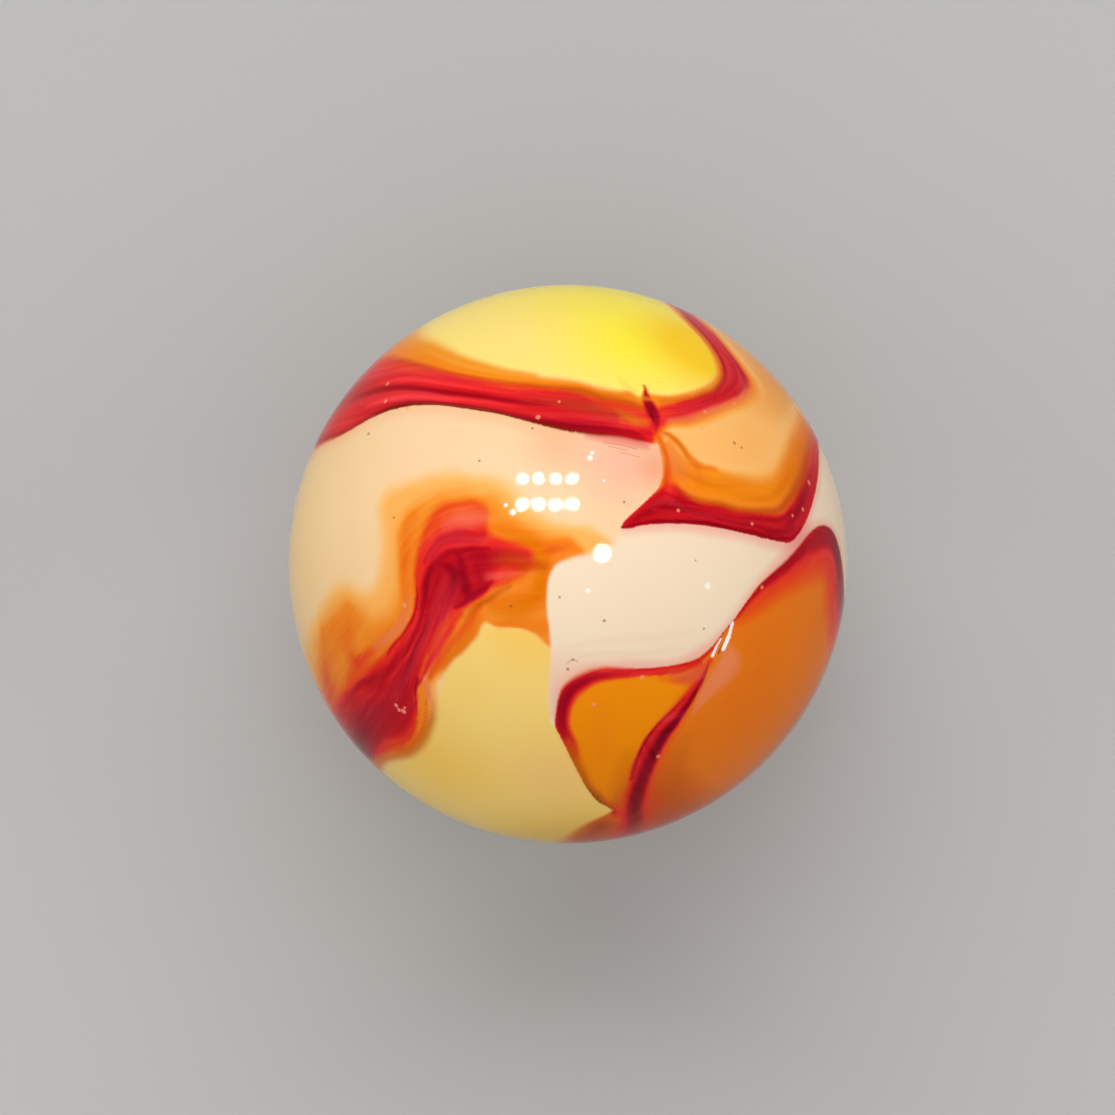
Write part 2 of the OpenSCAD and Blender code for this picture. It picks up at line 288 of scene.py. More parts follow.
FLAME_STREAMS = [
    ("plume", 1, [
        (-6.9, -1.5, .35, .4, .4), (-7.05, -2.1, .5, .45), (-7, -2.8, .7, .6, .5),
        (-6.9, -3.4, .7, .6, .58), (-7.2, -4, .7, .5, .62)]),
    ("plume left", 1, [
        (-8.3, -2.4, .5, .4, .4), (-8.5, -3.3, .7, .5, .46), (-8.7, -4.2, .7, .6, .54),
        (-9.2, -5.2, .8, .6, .6)]),
    ("bay", 1, [
        (-5.2, -1.9, .25, .42), (-5.7, -2.4, .3, .25, .5), (-6.2, -2.8, .35, .3, .6),
        (-6.8, -3.2, .35, .3, .66)]),
    ("halo fold", 1, [
        (-4.5, 1.4, .35, .43), (-4.75, .9, .38, .35, .46), (-4.76, .3, .35, .32, .47),
        (-4.75, -.4, .3, .28, .46), (-4.75, -1, .2, .44)]),
    ("cap blush", 1, [
        (-2.35, 1.4, .35, .6), (-2.9, 1.45, .4, .45, .58), (-3.5, 1.35, .35, .4, .6),
        (-4, .85, .25, .3, .62)]),
    ("cap line", 1, [
        (-2.25, .85, .14, .12, .76), (-2.8, .9, .16, .14, .78), (-3.3, .85, .16, .14, .77),
        (-3.8, .5, .14, .12, .77), (-4.08, .05, .12, .8)]),
    ("cap light", 1, [
        (-2.4, .62, .1, .77), (-3, .66, .1, .77), (-3.5, .52, .1, .77), (-3.85, .2, .08, .79)]),
    ("arm", 1, [
        (-2.4, .15, .42, .38, .88), (-1.95, .15, .42, .36, .87), (-1.5, .18, .4, .34, .85),
        (-1.1, .22, .38, .34, .79), (-.75, .3, .36, .34, .68), (-.4, .4, .32, .3, .56),
        (0, .5, .25, .46)]),
    ("arm foot", .9, [(-1.9, -.55, .12, .6), (-1.5, -.35, .14, .6), (-1.1, -.15, .12, .6)]),
    ("core rim", 1, [
        (-2.2, .4, .1, .12, .87), (-2.7, .42, .14, .89), (-3.2, .36, .14, .89),
        (-3.6, .14, .14, .89), (-3.85, -.15, .16, .91), (-4, -.5, .18, .93), (-4.03, -1, .16, .91),
        (-4.12, -1.45, .1, .87)]),
    ("core eye", 1, [
        (-3.5, 0, .14, .9), (-3.25, -.1, .24, .93), (-3.12, -.35, .24, .95), (-3.15, -.7, .2, .92),
        (-3.3, -1.05, .12, .87)]),
    ("core post", 1, [
        (-2.98, .42, .14, .88), (-2.93, .1, .2, .91), (-2.9, -.3, .22, .93),
        (-2.82, -.65, .24, .94), (-2.7, -.92, .18, .92)]),
    ("core pale left", 1, [
        (-3.6, -.2, .14, .87), (-3.64, -.55, .16, .86), (-3.7, -.95, .14, .85),
        (-3.85, -1.3, .1, .84)]),
    ("core pale right", 1, [(-2.6, .2, .18, .87), (-2.52, -.15, .2, .87), (-2.45, -.45, .14, .88)]),
    ("core foot", 1, [
        (-2.12, -.48, .1, .88), (-2.4, -.7, .22, .18, .91), (-2.7, -.93, .22, .16, .92),
        (-3.08, -1.2, .12, .1, .88)]),
    ("stem left edge", 1, [
        (-4.32, -.7, .07, .82), (-4.34, -1.15, .08, .86), (-4.5, -1.55, .08, .86),
        (-4.8, -1.95, .08, .86), (-5.1, -2.3, .08, .85), (-5.45, -2.7, .08, .82)]),
    ("stem light a", .9, [
        (-4.25, -1.35, .06, .76), (-4.45, -1.75, .07, .74), (-4.75, -2.2, .08, .73),
        (-5.1, -2.65, .08, .74), (-5.5, -3, .07, .77)]),
    ("stem dark a", .9, [
        (-4.15, -1.4, .05, .87), (-4.35, -1.9, .06, .87), (-4.62, -2.35, .07, .86),
        (-5, -2.85, .07, .86), (-5.4, -3.25, .07, .86), (-5.9, -3.55, .06, .87),
        (-6.5, -3.8, .06, .86), (-7.1, -4.25, .08, .84)]),
    ("stem light b", .9, [
        (-3.95, -1.2, .05, .78), (-4.12, -1.65, .06, .75), (-4.35, -2.15, .07, .72),
        (-4.65, -2.6, .07, .73), (-5, -3, .08, .74), (-5.35, -3.4, .08, .77),
        (-5.8, -3.75, .06, .8)]),
    ("stem dark b", .9, [
        (-3.75, -1.2, .05, .82), (-3.95, -1.6, .07, .9), (-4.2, -2.05, .09, .94),
        (-4.45, -2.5, .09, .93), (-4.7, -2.95, .1, .93), (-4.95, -3.45, .12, .92),
        (-5.15, -3.9, .14, .9)]),
    ("stem light c", .9, [
        (-3.52, -1.15, .06, .75), (-3.7, -1.55, .08, .73), (-3.98, -2.1, .09, .7),
        (-4.25, -2.6, .08, .71), (-4.5, -3.05, .08, .73), (-4.68, -3.5, .08, .75),
        (-4.8, -4, .06, .8)]),
    ("stem dark c", .9, [
        (-3.4, -1.25, .04, .84), (-3.55, -1.55, .04, .82), (-3.75, -1.9, .04, .76)]),
    ("stem light d", .9, [
        (-3.15, -1.3, .08, .68), (-3.45, -1.65, .1, .67), (-3.75, -2.15, .1, .67),
        (-4, -2.6, .1, .69)]),
    ("stem dark d", 1, [
        (-3.2, -1.75, .08, .66), (-3.6, -2.35, .12, .72), (-3.95, -2.85, .13, .76),
        (-4.2, -3.25, .12, .78), (-4.4, -3.6, .1, .82)]),
    ("fringe knot", .9, [
        (-4.42, -3.3, .05, .06, .84), (-4.47, -3.55, .09, .1, .95), (-4.55, -3.8, .09, .93),
        (-4.62, -4.2, .06, .86), (-4.7, -4.7, .05, .8)]),
    ("fringe line", 1, [
        (-4.2, -4.1, .1, .48), (-4.35, -4.8, .14, .53), (-4.66, -5.4, .15, .55),
        (-5.15, -5.9, .15, .54), (-5.8, -6.3, .17, .52), (-6.6, -6.7, .18, .5)]),
    ("right layer", 1, [
        (-2.5, -1.2, .18, .15, .52), (-2.85, -1.7, .28, .2, .55), (-3.3, -2.25, .3, .2, .58),
        (-3.7, -2.8, .28, .18, .6), (-4, -3.3, .2, .15, .58)]),
    ("stem side", 1, [
        (-3, -1.4, .15, .66), (-3.4, -1.95, .22, .2, .7), (-3.75, -2.5, .2, .18, .72),
        (-4.05, -3, .16, .15, .74)]),
    ("fringe red", 1, [
        (-4.75, -4.9, .14, .7), (-5, -5.4, .18, .16, .68), (-5.5, -5.85, .2, .18, .66),
        (-6.2, -6.3, .25, .2, .66), (-7, -7, .3, .25, .68)]),
    ("mass edge", 1, [
        (-6, -3.5, .1, .85), (-6.6, -3.75, .14, .87), (-7.1, -4.15, .18, .86),
        (-7.7, -4.7, .2, .83)]),
    ("mass glow", 1, [
        (-5.9, -4, .25, .81), (-6.8, -4.5, .35, .3, .8), (-7.8, -5.1, .4, .8), (-9, -6, .4, .84)]),
    ("mass tail", 1, [
        (-9.8, -7.5, .9, .86), (-10.8, -8.2, 1.3, .84), (-12, -8.8, 1.3, .8),
        (-13.2, -8.6, 1, .77)]),
    ("mass dark", 1, [
        (-5.6, -4.5, .3, .4, .87), (-6.2, -4.9, .6, .89), (-7, -5.6, .9, .7, .92),
        (-7.8, -6.6, 1, .8, .95), (-8.6, -7.7, 1, .8, .96), (-9.4, -8.8, 1, .8, .96)]),
]
FLAME_GLAZES = [
    ("amber", 1, DEEP_AMBER, [
        (-2, 1, .3, .1, .4), (-1.5, .75, .3, .2, .8), (-.8, .6, .35, 1), (-.7, -.1, .5, .35, 1),
        (-.9, -.9, .5, 1), (-1.4, -1.2, .6, .9), (-2.1, -1.2, .3, .7)]),
    ("amber shade", 1, RUST, [
        (-1.6, -.62, .12, .4), (-2.1, -.9, .18, .16, .7), (-2.6, -1.22, .16, .6),
        (-2.9, -1.55, .12, .3)]),
    ("amber edge", 1, DEEP_AMBER, [
        (-2.45, -1.5, .14, .1, .5), (-2.85, -2.05, .18, .12, .7), (-3.25, -2.5, .18, .12, .7),
        (-3.6, -2.95, .14, .1, .6)]),
    ("outer line", 1, RUST, [
        (-2.42, -1.72, .12, .15), (-2.7, -2.1, .13, .25), (-3.05, -2.48, .13, .25),
        (-3.4, -2.85, .13, .22), (-3.68, -3.3, .12, .12)]),
    ("stem crimson", 1, ROSE, [
        (-3.2, -.7, .5, .2), (-3.75, -1.6, .5, .42, .4), (-4.25, -2.5, .45, .4, .45),
        (-4.75, -3.3, .5, .4, .4), (-5.4, -4.2, .7, .5, .3), (-6.4, -5.2, .9, .7, .25)]),
    ("cap pink", 1, PINK, [
        (-2.35, 1.3, .4, .35, .3), (-2.85, 1.3, .5, .42, .45), (-3.4, 1.15, .4, .35, .25)]),
    ("cap crimson", 1, ROSE, [
        (-2.3, .75, .25, .2, .5), (-2.9, .8, .35, .25, .7), (-3.5, .65, .3, .25, .7),
        (-3.95, .2, .25, .2, .5)]),
    ("arm spark", 1, PINK, [(-2.2, -.34, .2, .14), (-1.9, -.32, .24, .2), (-1.5, -.25, .2, .1)]),
    ("arm rust", 1, RED_RUST, [
        (-2, .1, .35, .3), (-1.5, .1, .45, .42, .75), (-1.05, .02, .45, .42, .8),
        (-.65, -.08, .3, .5)]),
    ("fringe amber", 1, DARK_AMBER, [
        (-3.95, -4.1, .22, .16, .4), (-4.12, -4.7, .3, .2, .9), (-4.45, -5.35, .32, .22, .9),
        (-5, -5.98, .32, .25, .9), (-5.8, -6.55, .3, .2, .9), (-6.8, -7.2, .35, .25, .9),
        (-8, -8.2, .4, .3, .9)]),
    ("bay pink", 1, SALMON, [
        (-4.6, -1, .15, .5), (-4.85, -1.6, .25, .2, .8), (-5.3, -2.1, .3, .2, .7),
        (-5.9, -2.5, .25, .2, .4)]),
    ("fringe peach", .9, SALMON, [
        (-4.15, -3.35, .15, .7), (-4.1, -3.8, .2, .9), (-4.1, -4.2, .15, .5)]),
    ("fringe pale", 1, PALE_PEACH, [
        (-3.88, -3.5, .1, .3), (-3.84, -4, .13, .12, .45), (-3.95, -4.5, .1, .3)]),
    ("left edge light", .9, PINK, [
        (-4.5, -1.2, .03, .5), (-4.72, -1.65, .03, .5), (-5.05, -2.05, .03, .5)]),
]

# Top glass: the yellow cap, the peach pocket, and the band and the border of red glass
TOP_PATCHES = [(LEMON, 1, 2.2, 7.2, 3.6), (LEMON, .8, 1.5, 11, 4.5), (GOLD, 1.4, 4.5, 7.3, 2.6)]
# The peach glass lies to the right of this line, with an edge this soft
PEACH_LINE = [
    (2.9, 4.2), (4.2, 4.75), (5.3, 5.5), (5.85, 6.4), (5.7, 7.4), (5.2, 9), (4.9, 11), (5, 12.8),
    (5.6, 14.8), (7.4, 16.5), (10.4, 16.8), (13.2, 15)]
PEACH_SOFTNESS = 0.3
PEACH_PATCHES = [(PEACH_DEEP, .9, 8.4, 7.4, 3.6)]
# Line that the band's fine streaks follow
BAND_LINE = [
    (-14, 9), (-11, 7.4), (-8.5, 6.5), (-6.5, 6.1), (-5, 5.8), (-3.5, 5.3), (-2, 4.9), (-.5, 4.55),
    (1, 4.4), (2.4, 4.4), (3.3, 4.55), (4.2, 4.95), (5, 5.45), (5.6, 6), (5.75, 6.7), (5.6, 7.5),
    (5.3, 8.6), (4.95, 10), (4.9, 12), (5.2, 15)]
BAND_POOLS = [
    ("band orange", .42, [
        (-12.5, 12.5, .9), (-9, 11.3, .9), (-7, 9.7, .75), (-6.2, 8.85, .6), (-5.6, 8.15, .5),
        (-5, 7.6, .4), (-4.3, 7, .36), (-3.6, 6.5, .34), (-2.8, 6.08, .32), (-2, 5.78, .3),
        (-1.1, 5.58, .28), (0, 5.42, .26), (.8, 5.22, .22), (1.4, 5.12, .18), (1.85, 5.1, .1),
        (2.1, 4.9, .1), (2.3, 5.05, .1), (2.8, 5.04, .14), (3.4, 5.15, .16), (3.9, 5.33, .18),
        (4.5, 5.7, .18), (4.92, 6.15, .18), (5.05, 6.7, .18), (4.95, 7.4, .18), (4.7, 8.2, .2),
        (4.38, 9, .2), (4.12, 9.8, .22), (4, 11, .25), (4.1, 12.4, .5), (4.9, 14, .8),
        (6.1, 13.4, .8), (6, 12, .4), (5.6, 11, .3), (5.6, 10, .35), (5.87, 8.9, .35),
        (6.18, 7.8, .38), (6.56, 6.95, .42), (6.74, 6.3, .45), (6.54, 5.68, .45), (5.95, 5.18, .42),
        (5, 4.68, .4), (4.2, 4.22, .36), (3.5, 4, .28), (2.95, 3.9, .18), (2.7, 3.3, .12),
        (1.8, 2.6, .2), (-3, 3.5, .2), (-9, 3, .3), (-13.5, 4, .4)]),
    ("band red", .75, [
        (-11.5, 11, .5), (-9, 9.6, .4), (-7.7, 8.4, .38), (-6.8, 7.8, .33), (-6.1, 7.35, .3),
        (-5.5, 6.95, .27), (-4.8, 6.6, .25), (-4.1, 6.22, .22), (-3.4, 5.87, .2), (-2.6, 5.52, .18),
        (-1.6, 5.24, .18), (-.6, 5.13, .15), (.1, 5.08, .18), (.8, 4.8, .18), (1.3, 4.55, .15),
        (1.5, 4.25, .12), (2.2, 4, .12), (2.7, 4.6, .15), (3.3, 4.85, .13), (3.9, 5.08, .12),
        (4.5, 5.42, .1), (4.98, 5.85, .09), (5.22, 6.35, .08), (5.3, 6.9, .09), (5.15, 7.7, .12),
        (4.9, 8.5, .14), (4.6, 9.3, .16), (4.45, 10.2, .2), (4.45, 11.3, .3), (4.4, 13, .4),
        (5.2, 14, .4), (5.3, 12.6, .4), (5.15, 11.3, .3), (5.2, 10, .3), (5.5, 8.9, .25),
        (5.82, 7.9, .2), (6.17, 7, .17), (6.35, 6.3, .16), (6.14, 5.78, .18), (5.6, 5.4, .2),
        (4.9, 5.02, .2), (4.2, 4.6, .2), (3.6, 4.3, .2), (2.95, 4.12, .15), (2.55, 3.75, .1),
        (2.3, 3.2, .1), (1.8, 2.6, .2), (-3, 3.5, .2), (-9, 3, .3), (-13, 4, .4)]),
]
BAND_STREAMS = [
    ("band fire", 1, [
        (-7, 7.5, .4, .35, .68), (-6, 6.95, .35, .3, .67), (-5, 6.45, .25, .66),
        (-4, 6.05, .2, .66), (-3, 5.65, .15, .65), (-2, 5.35, .12, .64)]),
    ("band left", 1, [
        (-11, 7.6, 1.3, .9), (-9.6, 7, 1.3, .86), (-8.4, 6.6, 1, .82), (-7.4, 6.3, .7, .79),
        (-6.4, 6, .4, .77)]),
    ("band left thread", 1, [(-9.8, 6.1, .15, .84), (-8.6, 6.1, .14, .82), (-7.6, 6.15, .14, .82)]),
    ("band top line", .9, [
        (-5.6, 6.85, .1, .66), (-4.9, 6.42, .1, .7), (-4.2, 6.08, .09, .75), (-3.4, 5.74, .09, .76),
        (-2.5, 5.48, .09, .7), (-1.5, 5.28, .1, .64), (-.6, 5.15, .1, .62)]),
    ("band bright", .9, [
        (-6.6, 6.4, .18, .74), (-5.6, 6.22, .18, .72), (-4.6, 5.9, .17, .71),
        (-3.6, 5.56, .15, .71), (-2.6, 5.28, .13, .71), (-1.6, 5.04, .12, .73),
        (-.6, 4.9, .12, .75), (.2, 4.8, .1, .72)]),
    ("band deep", .9, [
        (-8, 6.1, .25, .84), (-7.2, 6.08, .24, .87), (-6.4, 6.02, .2, .89),
        (-5.6, 5.86, .17, .18, .9), (-4.8, 5.62, .15, .17, .9), (-4, 5.38, .14, .16, .9),
        (-3.2, 5.15, .14, .16, .9), (-2.2, 4.9, .14, .15, .9), (-1.2, 4.7, .14, .15, .88),
        (-.4, 4.6, .14, .87), (.3, 4.56, .12, .84), (1, 4.5, .1, .76)]),
    ("band deep thread", .9, [
        (-5.2, 5.98, .04, .05, .82), (-4.4, 5.74, .05, .8), (-3.6, 5.45, .05, .8),
        (-2.8, 5.2, .05, .8), (-2, 5, .05, .78)]),
    ("band glow", .9, [
        (-7.6, 5.4, .16, .77), (-6.6, 5.48, .18, .16, .75), (-5.6, 5.44, .16, .15, .73),
        (-4.6, 5.24, .13, .72), (-3.6, 5.02, .11, .72), (-2.6, 4.8, .1, .73), (-1.6, 4.58, .1, .76),
        (-.6, 4.4, .12, .79), (.3, 4.32, .12, .79), (1, 4.2, .1, .77), (1.5, 4.1, .08, .74)]),
    ("band low dark", .9, [
        (-7.4, 5.1, .12, .78), (-6.4, 5.2, .1, .8), (-5.4, 5.22, .1, .82), (-4.4, 5.04, .08, .82),
        (-3.4, 4.83, .08, .82), (-2.4, 4.56, .08, .82), (-1.4, 4.32, .1, .82),
        (-.6, 4.12, .1, .82)]),
    ("band edge", .8, [
        (-11.5, 5.6, .4, .6, .9), (-10.3, 5.2, .3, .5, .86), (-9.2, 4.85, .22, .4, .8),
        (-8, 4.72, .18, .4, .78), (-7, 4.88, .15, .4, .82), (-6, 5.05, .13, .4, .88),
        (-5, 5.07, .12, .4, .93), (-4, 4.92, .1, .4, .95), (-3, 4.68, .1, .4, .95),
        (-2, 4.42, .12, .4, .93), (-1, 4.12, .15, .4, .91), (0, 3.93, .2, .4, .92),
        (1, 3.85, .2, .4, .9), (1.7, 3.74, .17, .3, .86), (2.15, 3.6, .13, .3, .82),
        (2.4, 3.45, .08, .3, .68)]),
    ("band tip", 1, [
        (-.4, 4.62, .18, .8), (.3, 4.55, .18, .8), (.9, 4.4, .14, .79), (1.35, 4.28, .08, .72)]),
    ("band tip thread", .9, [
        (-.3, 4.15, .08, .82), (.4, 4.08, .1, .84), (1.1, 4.02, .08, .8), (1.6, 3.92, .06, .74)]),
    ("ember", 1, [
        (.9, 4.75, .25, .64), (1.4, 4.6, .35, .3, .67), (1.9, 4.45, .42, .36, .68),
        (2.3, 4.3, .4, .35, .7)]),
    ("ember spark", .8, [(1.5, 4.08, .08, .62), (1.9, 3.98, .08, .6), (2.3, 4, .1, .63)]),
    ("hook glow", 1, [
        (2.8, 4.4, .25, .66), (3.3, 4.55, .25, .72), (4, 4.88, .22, .76), (4.7, 5.25, .2, .78),
        (5.3, 5.8, .2, .8), (5.58, 6.3, .18, .79), (5.62, 6.9, .16, .8), (5.45, 7.6, .17, .82),
        (5.2, 8.6, .2, .82), (4.9, 9.8, .25, .84), (4.8, 11.2, .3, .85)]),
    ("hook inner", .9, [
        (3.3, 4.8, .1, .74), (4, 5.12, .12, .82), (4.7, 5.52, .13, .87), (5.12, 6.05, .14, .9),
        (5.3, 6.7, .13, .9), (5.2, 7.5, .15, .89), (4.95, 8.4, .17, .88), (4.65, 9.4, .2, .88),
        (4.5, 10.6, .2, .88)]),
    ("hook outer", .9, [
        (5.45, 8.8, .12, .84), (5.75, 7.7, .13, .86), (6, 7, .15, .89), (6.12, 6.4, .16, .9),
        (5.95, 5.95, .14, .88), (5.5, 5.55, .13, .84), (4.9, 5.15, .1, .8), (4.3, 4.75, .08, .76)]),
    ("hook heart", .9, [
        (5.7, 7.3, .1, .84), (5.8, 6.8, .1, .86), (5.75, 6.3, .1, .85), (5.35, 5.7, .08, .84),
        (4.75, 5.3, .08, .82), (4.2, 5, .08, .8)]),
    ("pinch", .6, [
        (2.3, 5.35, .05, .6), (2.31, 5.1, .1, .11, .82), (2.36, 4.85, .17, .2, .9),
        (2.46, 4.55, .24, .28, .92), (2.57, 4.28, .2, .25, .9), (2.58, 4.05, .12, .14, .86),
        (2.53, 3.88, .08, .78)]),
    ("pinch eye", .9, [(2.42, 4.62, .07, .92), (2.46, 4.38, .1, .98), (2.52, 4.15, .07, .94)]),
    ("pinch foot", .8, [
        (2.45, 3.85, .08, .66), (2.55, 3.72, .1, .6), (2.68, 3.55, .09, .5),
        (2.75, 3.3, .09, .46)]),
]
POCKET_POOLS = [
    ("pocket orange", .4, [
        (2.3, 3, .12), (2.7, 3.5, .15), (2.95, 3.6, .25), (3.25, 3.3, .3), (3.6, 3.05, .3),
        (4.2, 2.88, .32), (5.2, 2.75, .38), (5.9, 2.75, .55), (6.55, 3.05, .7), (7.05, 3.65, .8),
        (7.65, 4.45, .8), (8.35, 5.25, .75), (9.15, 6.05, .7), (10.3, 6.9, .6), (12, 8.4, .6),
        (13, 6.5, .5), (11, 4.5, .3), (8, .5, .3), (3, .3, .3), (1, .7, .2)]),
    ("border red", .81, [
        (1.4, 1.1, .06), (1.8, 1.42, .07), (2.2, 1.8, .08), (2.65, 2.15, .1), (2.95, 2.35, .12),
        (3.2, 2.1, .1), (3.6, 1.82, .08), (4.3, 1.7, .08), (5.2, 1.58, .08), (6.1, 1.53, .1),
        (6.7, 1.6, .12), (7.15, 1.95, .13), (7.6, 2.45, .15), (8.05, 2.95, .18), (8.5, 3.5, .22),
        (9.1, 4.3, .28), (9.9, 5.2, .35), (11.5, 6.8, .5), (12, 5, .3), (8, .3, .2), (3, .2, .2),
        (1.2, .6, .1)]),
]
BORDER_STREAMS = [
    ("crest fire", 1, [
        (2.9, 1.9, .3, .72), (2.85, 2.3, .28, .32, .66), (2.85, 2.7, .22, .28, .57),
        (2.85, 3.1, .12, .15, .48)]),
    ("border deep", .9, [
        (1.7, 1.15, .06, .84), (2.2, 1.4, .16, .89), (2.8, 1.6, .3, .26, .9), (3.4, 1.5, .22, .9),
        (4.2, 1.3, .18, .2, .88), (5.2, 1.15, .18, .2, .89), (6.1, 1.02, .18, .2, .9),
        (6.7, 1, .2, .9), (7.15, 1.15, .22, .9)]),
    ("border line", 1, [
        (2.7, 2, .08, .84), (3.2, 1.8, .08, .87), (3.8, 1.6, .08, .89), (4.5, 1.48, .08, .88),
        (5.2, 1.38, .09, .88), (6, 1.35, .09, .89), (6.7, 1.4, .1, .9), (7.15, 1.65, .1, .9)]),
    ("border light", 1, [
        (2.4, 1.5, .08, .82), (3.2, 1.42, .08, .8), (4.2, 1.22, .08, .8), (5.2, 1.08, .08, .8),
        (6, .98, .07, .82)]),
    ("border light top", 1, [
        (3.4, 1.66, .06, .8), (4.2, 1.52, .07, .79), (5.2, 1.45, .07, .79), (6, 1.44, .07, .81)]),
    ("border rise", .9, [
        (7, 1.2, .24, .88), (7.4, 1.62, .27, .92), (7.8, 2.1, .27, .92), (8.15, 2.6, .26, .89),
        (8.55, 3.2, .26, .83), (9.1, 4, .3, .77), (9.8, 5, .3, .76)]),
    ("border fire", 1, [(8.4, 3.6, .28, .6), (9, 4.5, .3, .6), (9.8, 5.5, .3, .62)]),
    ("border seam", .7, [
        (1.5, 1.02, .06, .1, .88), (2.2, 1.15, .07, .1, .92), (3, 1.2, .07, .1, .94),
        (4, 1.15, .07, .1, .94), (5, 1.02, .07, .1, .94), (6, .86, .08, .1, .93),
        (6.8, .77, .08, .1, .93), (7.2, .85, .08, .1, .91), (7.6, 1.2, .07, .1, .89)]),
    ("pocket wisp", 1, [
        (2.6, 3.85, .1, .5), (2.95, 3.75, .18, .46), (3.3, 3.45, .2, .46), (3.55, 3.1, .18, .47),
        (3.8, 2.85, .16, .46), (4.3, 2.75, .16, .42)]),
    ("pocket wisp left", 1, [
        (2.68, 3.6, .1, .5), (2.82, 3.2, .16, .52), (3, 2.8, .18, .52), (3.3, 2.45, .16, .46)]),
]
TOP_GLAZES = [
    ("fringe soft", 1, FRINGE_ORANGE, [
        (-9.5, 11.2, 1.7, 1.4, .8), (-7.6, 9.9, 1.3, 1.1, .85), (-6.2, 8.6, .9, .8, .95),
        (-5.1, 7.65, .55, 1), (-4.1, 6.95, .42, 1), (-3.1, 6.35, .34, 1), (-2.1, 5.9, .28, .9),
        (-1, 5.6, .24, .8)]),
    ("fringe", 1, BRIGHT_ORANGE, [
        (-7.2, 9.1, .4, .5, .5), (-6.1, 8, .35, .8), (-5.1, 7.1, .28, .3, .9),
        (-4.2, 6.55, .24, .9), (-3.2, 6.05, .2, .9), (-2, 5.66, .16, .9), (-.8, 5.42, .16, .9),
        (.3, 5.25, .16, .9), (1.2, 4.98, .16, .8), (2, 4.9, .14, .6), (2.8, 4.95, .1, .7),
        (3.6, 5.2, .1, .8), (4.4, 5.6, .12, .8), (4.95, 6.2, .12, .8), (5, 7, .12, .8),
        (4.82, 7.9, .14, .8), (4.5, 8.8, .15, .8)]),
    ("fringe shade", 1, RED_BROWN, [
        (-6.8, 7.9, .2, .3), (-5.8, 7.2, .18, .5), (-4.9, 6.6, .14, .6), (-4, 6.2, .1, .6),
        (-3, 5.78, .1, .6), (-2, 5.5, .1, .6), (-1, 5.28, .14, .12, .7), (-.2, 5.15, .18, .16, .8),
        (.6, 5.02, .18, .16, .8), (1.1, 4.8, .12, .5)]),
    ("tip shade", 1, DARK_BRICK, [
        (-1.2, 4.8, .25, .2, .2), (-.4, 4.68, .34, .26, .5), (.4, 4.55, .4, .34, .7),
        (1.1, 4.4, .38, .34, .7), (1.7, 4.25, .3, .55), (2.1, 4.1, .2, .3)]),
    ("ember shade", 1, RUST, [
        (-.2, 5.1, .22, .2, .25), (.5, 5, .28, .24, .55), (1.1, 4.88, .28, .26, .65),
        (1.7, 4.74, .26, .24, .65), (2.15, 4.55, .2, .5)]),
    ("ochre wisp", 1, OCHRE, [
        (1.55, 5.6, .14, .1), (1.75, 5.3, .2, .22), (1.95, 5.05, .22, .28), (2.1, 4.8, .16, .2)]),
    ("scarlet", 1, SCARLET, [
        (-6.7, 6.38, .12, .4), (-5.7, 6.22, .15, .7), (-4.8, 5.95, .14, .8), (-3.9, 5.65, .12, .8),
        (-3, 5.38, .1, .7), (-2.2, 5.17, .09, .5), (-1.4, 5.02, .08, .3)]),
    ("scarlet low", 1, SCARLET, [
        (-6.9, 5.42, .12, .4), (-6, 5.47, .14, .13, .7), (-5.1, 5.36, .13, .8),
        (-4.2, 5.16, .11, .8), (-3.3, 4.96, .1, .7), (-2.4, 4.75, .09, .5), (-1.6, 4.58, .08, .3)]),
    ("hook light", 1, ROSE, [
        (3.2, 4.5, .15, .3), (4, 4.85, .15, .4), (4.8, 5.3, .1, .4), (5.4, 5.85, .09, .4),
        (5.6, 6.5, .08, .4), (5.6, 7.2, .08, .3)]),
    ("hook side", 1, LIGHT_RUST, [
        (2.8, 4.87, .13, .12, .4), (3.4, 5, .14, .13, .5), (4.2, 5.32, .15, .14, .6),
        (4.8, 5.74, .15, .14, .6), (5.1, 6.2, .15, .14, .6), (5.13, 6.9, .15, .14, .6),
        (4.96, 7.7, .16, .15, .6), (4.7, 8.5, .18, .16, .55), (4.4, 9.4, .2, .18, .5)]),
    ("hook foot", 1, SALMON, [
        (3, 4.15, .15, .4), (3.8, 4.38, .18, .5), (4.7, 4.85, .2, .5), (5.6, 5.3, .2, .5),
        (6.3, 5.9, .2, .4)]),
    ("peach warmth", 1, WARM_PEACH, [
        (5.9, 5.1, .5, .2), (6.6, 5.5, .9, .4), (7.3, 6, 1.1, 1, .45), (7.8, 7, 1, .35),
        (7.9, 8.2, .8, .2)]),
    ("brown edge", .9, DARK_BROWN, [
        (-9.2, 4.7, .12, .2, .3), (-8, 4.62, .1, .2, .5), (-7.2, 4.72, .08, .2, .6),
        (-6.4, 4.93, .07, .2, .8), (-5.6, 5.04, .07, .2, .9), (-4.8, 5.02, .07, .2, .9),
        (-4, 4.9, .06, .2, .9), (-3, 4.65, .06, .2, .9), (-2, 4.4, .06, .2, .9),
        (-1, 4.07, .06, .2, .9), (0, 3.8, .08, .2, .8), (.8, 3.68, .08, .2, .6),
        (1.5, 3.6, .08, .2, .3)]),
]
